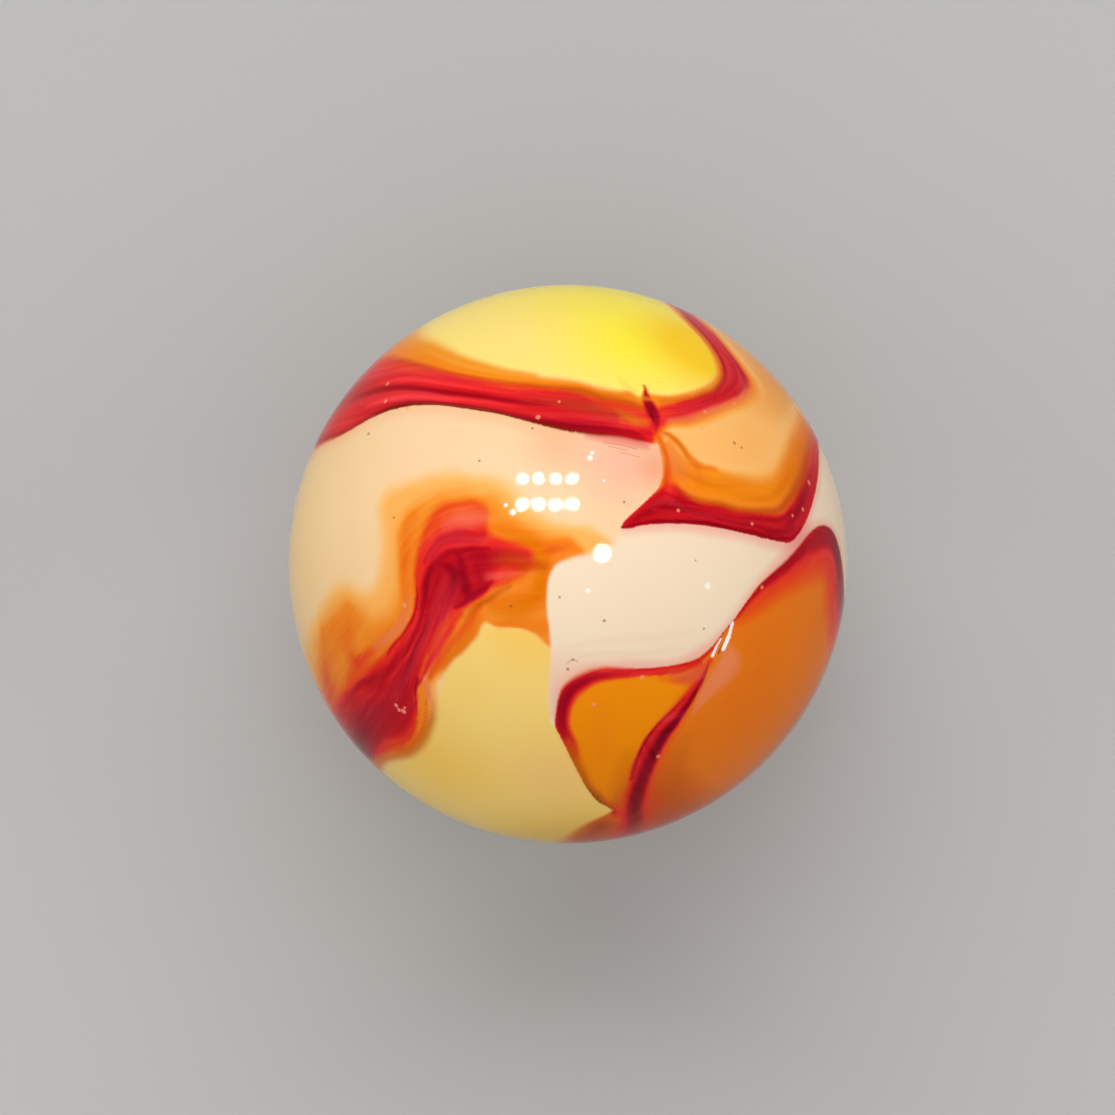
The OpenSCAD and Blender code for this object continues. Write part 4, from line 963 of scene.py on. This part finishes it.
class Swirl:
    """Places on the ball, with their chart places, at which the swirl is worked out."""

    def __init__(self, places):
        self.places = places.astype(np.float32)
        self.right, self.up = on_chart(places)

    def stirred(self, reach):
        """The same places, moved by a sum of small waves, so that what is drawn there is drawn
        with wavering edges. Shorter waves move the places less."""
        waves = np.random.default_rng(STIR_SEED)
        moved = self.places.astype(float)
        for length, share in STIR_WAVES:
            for _ in range(WAVES_IN_SET):
                heading, shift = waves.normal(size=(2, 3))
                turns = self.places @ (heading / np.linalg.norm(heading)) * NOMINAL_RADIUS / length
                wave = np.sin(2 * np.pi * turns + waves.uniform(0, 2 * np.pi))
                moved += wave[:, None] * shift * (share * reach / NOMINAL_RADIUS / 2)
        return Swirl(moved / np.linalg.norm(moved, axis=1)[:, None])

    def nearest(self, line):
        """Index of the line's sample that lies nearest each place."""
        line = line.astype(np.float32)
        found = np.empty(len(self.places), int)
        for first in range(0, len(self.places), PLACES_AT_ONCE):
            part = slice(first, first + PLACES_AT_ONCE)
            found[part] = np.argmax(self.places[part] @ line.T, axis=1)
        return found

    def gap(self, run):
        """Distance of each place from the nearest sample of a curve, and that sample's index.
        An arc of the ball is twice the arc sine of half its chord."""
        line = on_ball(run[:, 0], run[:, 1]).astype(np.float32)
        near = self.nearest(line)
        chord = np.linalg.norm(self.places - line[near], axis=1)
        return 2 * np.arcsin(np.clip(chord / 2, 0, 1)) * NOMINAL_RADIUS, near

    def stream(self, rows, soft=1):
        """How strongly a stream covers each place, the values it has there, and the distance
        to the left of its middle line. The cover fades over the soft part of the reach."""
        run = smooth_run([row if len(row) > 4 else row[:3] + row[2:] for row in rows])
        line = on_ball(run[:, 0], run[:, 1])
        ahead = np.gradient(line, axis=0)
        ahead /= np.linalg.norm(ahead, axis=1)[:, None]
        left = np.cross(line, ahead)
        near = self.nearest(line)
        offset = (self.places - line[near]) * NOMINAL_RADIUS
        across = np.einsum("ij,ij->i", offset, left[near])
        along = np.einsum("ij,ij->i", offset, ahead[near])
        reach = np.maximum(np.where(across > 0, run[near, 2], run[near, 3]), LEAST_REACH)
        mean = np.maximum((run[near, 2] + run[near, 3]) / 2, LEAST_REACH)
        out = np.hypot(across / reach, along / mean)
        return 1 - smooth_step(1 - soft, 1, out), run[near, 4:], across

    def beside(self, line):
        """Distance to the left of a line of chart places, and how strongly a wide stream along
        it covers each place."""
        cover, _, across = self.stream([place + (LINE_REACH, 0) for place in line])
        return across, cover

    def right_of(self, line, low, high):
        """Rises from 0 at a low distance to the right of a line to 1 at a high one."""
        across, cover = self.beside(line)
        return np.where(cover > 0, smooth_step(low, high, -across), 0)

    def inside(self, outline):
        """Distance inside a closed outline, and the softness of its edge at the nearest place.
        A place is inside if a line from it to the right crosses the outline an odd number of
        times."""
        run = smooth_run(outline, closed=True)
        gap, near = self.gap(run)
        odd = np.zeros(len(self.places), bool)
        for (a, b), (c, d) in zip(run[:-1, :2], run[1:, :2]):
            crosses = (b > self.up) != (d > self.up)
            odd ^= crosses & (self.right < (c - a) * (self.up - b) / (d - b + TINY) + a)
        return np.where(odd, gap, -gap), np.maximum(run[near, 2], LEAST_SOFTNESS)

    def pool(self, outline):
        """How strongly a pool covers each place: full inside, fading over the outline's
        softness to either side."""
        gap, soft = self.inside(outline)
        return smooth_step(-soft, soft, gap)

    def spot(self, right, up, reach):
        """A round patch that is full at its middle and fades to nothing at its reach."""
        gap = np.arccos(np.clip(self.places @ on_ball(right, up), -1, 1)) * NOMINAL_RADIUS
        return 1 - smooth_step(0, reach, gap)

    def filled(self, glass):
        """Glass of one colour at every place."""
        return np.tile(glass, (len(self.places), 1))

    def patched(self, colour, patches, within=1):
        """Glass with round patches of other colours, kept within a part of it."""
        for glass, share, right, up, reach in patches:
            cover = np.minimum(share * self.spot(right, up, reach), 1)
            colour = blend(colour, np.array(glass), cover * within)
        return colour

    def glazed(self, colour, glazes):
        """Glass with thin streams of other colours over it."""
        for _, soft, glass, rows in glazes:
            cover, values, _ = self.stream(rows, soft)
            colour = blend(colour, np.array(glass), cover * values[:, 0])
        return colour

    def tinted(self, pools, streams, tint=0.0):
        """Strength of the red glass: pools first, then streams, each over those before it."""
        tint = np.full(len(self.places), tint)
        for _, inner_tint, outline in pools:
            tint = blend(tint, inner_tint, self.pool(outline))
        for _, soft, rows in streams:
            cover, values, _ = self.stream(rows, soft)
            tint = blend(tint, values[:, 0], cover)
        return tint

    def calmed(self, streaky, spots):
        """Fine streaks that are fainter in round spots."""
        for share, right, up, reach in spots:
            streaky = streaky * (1 - share * self.spot(right, up, reach))
        return streaky


def red_glass(base, tint, start=0.0):
    """The glass under it up to a starting tint, then the red glass's colours."""
    stops, colours = zip(*RED_GLASS)
    colour = np.stack([np.interp(tint, stops, values) for values in zip(*colours)], axis=-1)
    return blend(base, colour, smooth_step(start, start + TINT_FADE, tint))


# Each of the next four gives a body of glass: its colour at every place, how streaky it is
# there, and its grain, the distance in millimetres that the fine streaks change with


def cream_side(swirl):
    """Cream glass with a pink lobe and a blush under the band, straw glass, and the flame."""
    base = swirl.patched(swirl.filled(CREAM), CREAM_BODY_PATCHES)
    gap, _ = swirl.gap(smooth_run(TOP_SEAM[:BAND_EDGE_ROWS]))
    blush = BAND_BLUSH_SHARE * (1 - smooth_step(0, BAND_BLUSH_REACH, gap))
    base = blend(base, base * BAND_BLUSH, blush)
    base = swirl.glazed(swirl.patched(base, CREAM_PATCHES), CREAM_GLAZES)
    straw = swirl.pool(STRAW_EDGE)
    base = blend(base, swirl.patched(swirl.filled(STRAW), STRAW_BODY_PATCHES), straw)
    base = swirl.patched(base, STRAW_PATCHES, straw)
    stirred = swirl.stirred(CREAM_STIR)
    tint = np.maximum(stirred.tinted(FLAME_POOLS, FLAME_STREAMS), stirred.tinted([], BACK_RIBBON))
    colour = stirred.glazed(red_glass(base, tint), FLAME_GLAZES)
    streaky = swirl.calmed(smooth_step(*CREAM_STREAKY, tint), CREAM_CALM)
    return colour, streaky, stirred.beside(FLAME_LINE)[0]


def white_side(swirl):
    """Milky white glass, pink at its edges and corners. It has no streaks and no grain."""
    colour = swirl.glazed(swirl.filled(MILK), WHITE_GLAZES)
    return swirl.patched(colour, WHITE_PATCHES), np.zeros(len(colour)), None


def top_side(swirl):
    """The yellow cap and the peach pocket, with the band and the border."""
    base = swirl.patched(swirl.filled(PALE_YELLOW), TOP_PATCHES)
    peach = swirl.patched(swirl.filled(PEACH), PEACH_PATCHES)
    base = blend(base, peach, swirl.right_of(PEACH_LINE, 0, PEACH_SOFTNESS))
    stirred = swirl.stirred(TOP_STIR)
    band = stirred.tinted(BAND_POOLS, BAND_STREAMS)
    pocket = stirred.tinted(POCKET_POOLS, BORDER_STREAMS)
    back = stirred.tinted([], BACK_RIBBON + FAR_LOOP)
    tint = np.maximum(np.maximum(band, pocket), back)
    colour = stirred.glazed(red_glass(base, tint), TOP_GLAZES + POCKET_GLAZES)
    grain = np.where(pocket > band, swirl.inside(TOP_SEAM)[0], stirred.beside(BAND_LINE)[0])
    return colour, smooth_step(*TOP_STREAKY, tint), grain


def lower_side(swirl):
    """Burnt orange glass and the amber triangle, with the vein between them and red rims."""
    triangle = swirl.right_of(TRIANGLE_LINE, -TRIANGLE_SOFTNESS, TRIANGLE_SOFTNESS)
    base = blend(swirl.filled(BURNT), np.array(AMBER), triangle)
    stirred = swirl.stirred(LOWER_STIR)
    tint = stirred.tinted([], LOWER_STREAMS, LOWER_TINT)
    colour = stirred.glazed(red_glass(base, tint, LOWER_TINT), LOWER_GLAZES)
    streaky = swirl.calmed(smooth_step(*LOWER_STREAKY, tint), LOWER_CALM)
    return colour, streaky, swirl.inside(LOWER_SEAM)[0]


# The bodies of glass and their seams, each over the ones before it
GLASS_BODIES = [
    ("cream_side", cream_side, None),
    ("white_side", white_side, WHITE_SEAM),
    ("top_side", top_side, TOP_SEAM),
    ("lower_side", lower_side, LOWER_SEAM),
]


def ball_patches():
    """Places on the unit ball in the face's frame, the quads between them and their cells of
    the bake map. Each of six patches is a square grid of two turns, a and b, about its own
    middle: the place is (tan a, tan b, 1) brought to unit length. Then every place moves
    towards the face's middle along its meridian, by FACE_DENSITY times the sine of its angle
    from there, so that the grid is denser on the face."""
    side = PATCH_CELLS + 1
    turn = np.tan(np.linspace(-math.pi / 4, math.pi / 4, side))
    a, b = np.meshgrid(turn, turn, indexing="ij")
    flat = np.stack([a.ravel(), b.ravel(), np.ones(side * side)], axis=1)
    corner = np.arange(side * side).reshape(side, side)
    quad = np.stack([corner[:-1, :-1], corner[1:, :-1], corner[1:, 1:], corner[:-1, 1:]], axis=-1)
    share = np.linspace(MAP_MARGIN, 1 - MAP_MARGIN, side)
    cell = np.stack(np.meshgrid(share, share, indexing="ij"), axis=-1).reshape(-1, 2)
    # Each patch's right, up and outward direction
    x, y, z = np.eye(3)
    turns = [(x, y, z), (y, x, -z), (y, z, x), (z, y, -x), (z, x, y), (x, z, -y)]
    places, quads, cells = [], [], []
    for patch, axes in enumerate(turns):
        places.append(flat @ np.array(axes))
        quads.append(quad.reshape(-1, 4) + patch * side * side)
        map_place = np.array([patch % MAP_COLUMNS, patch // MAP_COLUMNS])
        cells.append((map_place + cell) / (MAP_COLUMNS, MAP_ROWS))
    places, quads, cells = np.vstack(places), np.vstack(quads), np.vstack(cells)
    places /= np.linalg.norm(places, axis=1)[:, None]
    angle = np.arccos(np.clip(places[:, 2], -1, 1))
    moved = angle - FACE_DENSITY * np.sin(angle)
    ring = np.sin(moved) / np.maximum(np.hypot(places[:, 0], places[:, 1]), TINY)
    places = np.stack([places[:, 0] * ring, places[:, 1] * ring, np.cos(moved)], axis=1)
    # The patches share the places along their edges
    rounded = np.round(places, SHARED_DECIMALS)
    _, first, same = np.unique(rounded, axis=0, return_index=True, return_inverse=True)
    return places[first], same.ravel()[quads], cells[quads.ravel()]


def crease_dent(swirl):
    """Depth of the crease at each place, in metres: a dent whose floor is a parabola along
    and across, deepest in the middle and nothing at half the length and half the width."""
    middle = on_ball(CREASE_RIGHT, CREASE_UP)
    offset = (swirl.places - middle) * NOMINAL_RADIUS
    along = np.array([math.cos(CREASE_SLOPE), math.sin(CREASE_SLOPE), 0.0])
    along -= middle * (along @ middle)
    along /= np.linalg.norm(along)
    end = (offset @ along) / (CREASE_LENGTH / 2)
    side = (offset @ np.cross(middle, along)) / (CREASE_WIDTH / 2)
    depth = np.clip(1 - end * end - side * side, 0, 1)
    depth[swirl.places @ middle < 0] = 0
    return CREASE_DEPTH * CHART_MM * depth


def stand(name, data):
    """A new object at the origin, in the scene."""
    thing = bpy.data.objects.new(name, data)
    bpy.context.scene.collection.objects.link(thing)
    return thing


def set_layer(mesh, name, kind, key, columns):
    """Puts columns of values on the mesh's points, as an attribute."""
    layer = mesh.attributes.new(name, kind, "POINT")
    layer.data.foreach_set(key, np.column_stack(columns).astype(np.float32).ravel())


def make_marble(glass_finish):
    """The ball of swirled glass. Its points carry the colour and streakiness of each body of
    glass, the distances inside the three seams, and the three grains."""
    places, quads, cells = ball_patches()
    swirl = Swirl(places)
    points = (places * (RADIUS - crease_dent(swirl))[:, None]) @ FACE_AXES
    mesh = bpy.data.meshes.new("marble_glass")
    mesh.from_pydata(points, [], quads.tolist())
    mesh.polygons.foreach_set("use_smooth", np.ones(len(quads), bool))
    bake_map = mesh.uv_layers.new(name="OFBake")
    bake_map.uv.foreach_set("vector", cells.astype(np.float32).ravel())
    grains, gaps = [], []
    for name, body, seam in GLASS_BODIES:
        colour, streaky, grain = body(swirl)
        set_layer(mesh, name, "FLOAT_COLOR", "color", [colour, streaky])
        if grain is not None:
            grains.append(grain)
        if seam:
            gap, soft = swirl.inside(seam)
            gaps.append(np.clip(gap / soft, -SEAM_RANGE, SEAM_RANGE))
    set_layer(mesh, "seams", "FLOAT_VECTOR", "vector", gaps)
    set_layer(mesh, "grain", "FLOAT_VECTOR", "vector", grains)
    mesh.materials.append(glass_finish)
    mesh.update()
    return stand("marble_glass", mesh)


class Shade:
    """A socket of a material's nodes. Sums and products of it add Math nodes."""

    def __init__(self, nodes, socket):
        self.nodes, self.socket = nodes, socket

    def maths(self, operation, first, second):
        """Adds a Math node."""
        return self.nodes.add("ShaderNodeMath", {"operation": operation}, {0: first, 1: second})

    def __add__(self, other):
        return self.maths("ADD", self, other)

    def __sub__(self, other):
        return self.maths("SUBTRACT", self, other)

    def __rsub__(self, other):
        return self.maths("SUBTRACT", other, self)

    def __mul__(self, other):
        return self.maths("MULTIPLY", self, other)

    def larger(self, other):
        """The larger of two values."""
        return self.maths("MAXIMUM", self, other)

    __radd__, __rmul__ = __add__, __mul__


class Nodes:
    """A node tree, and the one way in which its nodes are added."""

    def __init__(self, tree):
        self.tree = tree

    def set(self, node, sockets):
        """Links a node's sockets to shades, or gives them plain values."""
        for key, value in sockets.items():
            if isinstance(value, Shade):
                self.tree.links.new(value.socket, node.inputs[key])
            else:
                node.inputs[key].default_value = value

    def add(self, kind, settings=None, sockets=None, output=0):
        """Adds a node: its settings come first, then the values or links of its sockets."""
        node = self.tree.nodes.new(kind)
        for key, value in (settings or {}).items():
            setattr(node, key, value)
        self.set(node, sockets or {})
        return Shade(self, node.outputs[output])

    def attribute(self, name, output):
        """An attribute of the mesh, as its Color, its Vector or its Alpha."""
        return self.add("ShaderNodeAttribute", {"attribute_name": name}, output=output)

    def split(self, vector):
        """The three values of a vector."""
        first = self.add("ShaderNodeSeparateXYZ", {}, {0: vector})
        return [Shade(self, output) for output in first.socket.node.outputs]

    def vector(self, operation, *values, output="Vector"):
        """Vector Math of two or three vectors."""
        settings = {"operation": operation}
        return self.add("ShaderNodeVectorMath", settings, dict(enumerate(values)), output)

    def noise(self, place, settings, grain=None):
        """Noise over places, which also changes with a grain, if one is given."""
        sockets = {"Vector": place, **settings}
        if grain is None:
            return self.add("ShaderNodeTexNoise", {"noise_dimensions": "3D"}, sockets)
        return self.add("ShaderNodeTexNoise", {"noise_dimensions": "4D"}, {**sockets, "W": grain})

    def rise(self, value, low, high, start=0.0, end=1.0):
        """Goes smoothly from a start at a low value to an end at a high one."""
        return self.add("ShaderNodeMapRange", {"interpolation_type": "SMOOTHSTEP"},
                        {"Value": value, "From Min": low, "From Max": high,
                         "To Min": start, "To Max": end})

    def mix(self, share, under, over):
        """A share of one colour over another. The Mix node's colours are its sockets 6 and 7,
        and their result is its output 2."""
        sockets = {0: share, 6: under, 7: over}
        return self.add("ShaderNodeMix", {"data_type": "RGBA"}, sockets, output=2)

    def seen(self):
        """Full for the rays that look at a thing, and nothing for the rays that light one."""
        rays = [self.add("ShaderNodeLightPath", output="Is %s Ray" % kind)
                for kind in ("Camera", "Glossy", "Transmission")]
        return rays[0] + rays[1] + rays[2]

    def stroke_gap(self, place, start, end):
        """Distance to the nearest place between a stroke's ends."""
        ahead = end - start
        offset = self.vector("SUBTRACT", place, start)
        share = self.vector("DOT_PRODUCT", offset, ahead / (ahead @ ahead), output="Value")
        share = self.add("ShaderNodeClamp", {}, {0: share})
        near = self.vector("MULTIPLY_ADD", share, ahead, start)
        return self.vector("DISTANCE", place, near, output="Value")

    def marks(self, place, rows):
        """How strongly small marks cover a place: full up to half the reach of each."""
        found = 0.0
        for *ends, reach in rows:
            start = on_ball(*ends[:2]) @ FACE_AXES * RADIUS
            if len(ends) == 2:
                gap = self.vector("DISTANCE", place, start, output="Value")
            else:
                gap = self.stroke_gap(place, start, on_ball(*ends[2:]) @ FACE_AXES * RADIUS)
            reach *= CHART_MM
            found = self.rise(gap, reach / 2, reach, 1.0, 0.0).larger(found)
        return found


class Finish(Nodes):
    """A material."""

    def __init__(self, name):
        self.material = bpy.data.materials.new(name)
        self.material.use_nodes = True
        super().__init__(self.material.node_tree)
        self.surface = self.tree.nodes["Principled BSDF"]


def make_glass_finish():
    """The bodies of glass over each other with crisp seams, then the fine streaks, the small marks
    with their painted highlights and painted crease shadow, and a faint ripple."""
    finish = Finish("swirled_glass")
    place = finish.add("ShaderNodeTexCoord", output="Object")
    seam_gaps = finish.split(finish.attribute("seams", "Vector"))
    shares = [finish.rise(gap, -1, 1) for gap in seam_gaps]
    cream_grain, top_grain, lower_grain = finish.split(finish.attribute("grain", "Vector"))
    colour = finish.attribute("cream_side", "Color")
    streaky = finish.attribute("cream_side", "Alpha")
    for (name, _, _), share in zip(GLASS_BODIES[1:], shares):
        colour = finish.mix(share, colour, finish.attribute(name, "Color"))
        streaky = streaky + (finish.attribute(name, "Alpha") - streaky) * share
    _, top_share, lower_share = shares
    grain = cream_grain + (top_grain - cream_grain) * top_share
    grain = (grain + (lower_grain - grain) * lower_share) * GRAIN_SCALE
    streaks = finish.noise(place, STREAK_NOISE, grain)
    drift = finish.noise(place, DRIFT_NOISE)
    # A depth over 1 makes the colour deeper, and one under 1 makes it paler
    depth = (1.0 + (streaks - NOISE_MIDDLE) * (streaky + CALM_STREAKS)
             + (drift - NOISE_MIDDLE) * DRIFT_DEPTH)
    colour = finish.add("ShaderNodeGamma", {}, {"Color": colour, "Gamma": depth})
    for _, mark_colour, share, rows in SMALL_MARKS:
        colour = finish.mix(finish.marks(place, rows) * share, colour, mark_colour + (1,))
    ripple = finish.noise(place, RIPPLE_NOISE)
    bump = finish.add("ShaderNodeBump", {}, {**RIPPLE, "Height": ripple})
    finish.set(finish.surface, {"Base Color": colour, "Normal": bump, **GLASS_SURFACE})
    return finish.material


def make_floor():
    """A plain square floor that the ball rests on."""
    finish = Finish("studio_floor")
    colour = finish.mix(finish.seen(), FLOOR_BOUNCE + (1,), FLOOR_COLOUR + (1,))
    finish.set(finish.surface, {"Base Color": colour, **FLOOR_SURFACE})
    mesh = bpy.data.meshes.new("studio_floor")
    corners = [(-1, -1), (1, -1), (1, 1), (-1, 1)]
    low = float(BALL_LOW.z)
    points = [(x * FLOOR_REACH, y * FLOOR_REACH, low) for x, y in corners]
    mesh.from_pydata(points, [], [(0, 1, 2, 3)])
    mesh.materials.append(finish.material)
    floor = stand("studio_floor", mesh)


def look_along(thing, place, towards, up):
    """Puts a lamp or the camera at a place, looking towards a direction."""
    back = -np.array(towards) / np.linalg.norm(towards)
    right = np.cross(up, back)
    right /= np.linalg.norm(right)
    turn = np.eye(4)
    turn[:3] = np.column_stack([right, np.cross(back, right), back, place])
    thing.matrix_world = Matrix(turn.tolist())


def make_camera():
    """The camera looks at the middle of the face from straight in front of it."""
    camera = bpy.data.cameras.new("camera")
    camera.sensor_width = SENSOR_MM
    camera.lens = SENSOR_MM * FOCAL_PIXELS / IMAGE_PIXELS
    camera.shift_x = (IMAGE_PIXELS / 2 - BALL_COLUMN) / IMAGE_PIXELS
    camera.shift_y = (BALL_ROW - IMAGE_PIXELS / 2) / IMAGE_PIXELS
    camera.clip_start, camera.clip_end = CLIP_NEAR, CLIP_FAR
    thing = stand("camera", camera)
    look_along(thing, FACE_OUT * CAMERA_DISTANCE, -FACE_OUT, FACE_UP)
    bpy.context.scene.camera = thing


def make_lamp(name, glint, width, height, strength):
    """A panel lamp whose reflection falls on a place of the face: it stands where the view of
    that place is thrown by the ball."""
    normal = on_ball(*glint) @ FACE_AXES
    spot = normal * RADIUS
    view = FACE_OUT * CAMERA_DISTANCE - spot
    view /= np.linalg.norm(view)
    away = 2 * (view @ normal) * normal - view
    lamp = bpy.data.lights.new(name, "AREA")
    lamp.shape = "ELLIPSE"
    lamp.size, lamp.size_y = width, height
    lamp.energy = strength * math.pi * width * height
    thing = stand(name, lamp)
    look_along(thing, spot + away * LAMP_DISTANCE, -away, FACE_UP)
    return thing


def make_glint_panel(name, glint, glint_size):
    """A small round panel that only shows as a glint. A ball mirrors a lamp smaller, by half
    the radius over the distance."""
    size = glint_size * LAMP_DISTANCE * 2 / NOMINAL_RADIUS
    make_lamp(name, glint, size, size, PANEL_STRENGTH).visible_diffuse = False


def make_lights():
    """Glint panels, soft lamps that aren't mirrored, and the pale world."""
    for row, (up, size) in enumerate(GLINT_ROWS):
        for column, right in enumerate(GLINT_COLUMNS):
            make_glint_panel("panel_%d_%d" % (row, column), (right, up), size)
    make_glint_panel("round_lamp", ROUND_GLINT, ROUND_GLINT_SIZE)
    for name, glint, width, height, strength in SOFT_LAMPS:
        make_lamp(name, glint, width, height, strength).visible_glossy = False
    world = bpy.data.worlds.new("studio")
    bpy.context.scene.world = world
    world.use_nodes = True
    sky = Nodes(world.node_tree)
    colour = sky.mix(sky.seen(), WORLD_LIGHT + (1,), WORLD_COLOUR + (1,))
    sky.set(world.node_tree.nodes["Background"], {"Color": colour, "Strength": 1.0})


bpy.context.scene.view_settings.view_transform = "Standard"
make_camera()
make_floor()
make_lights()
marble = make_marble(make_glass_finish())
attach(marble, "root")
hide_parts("marble")
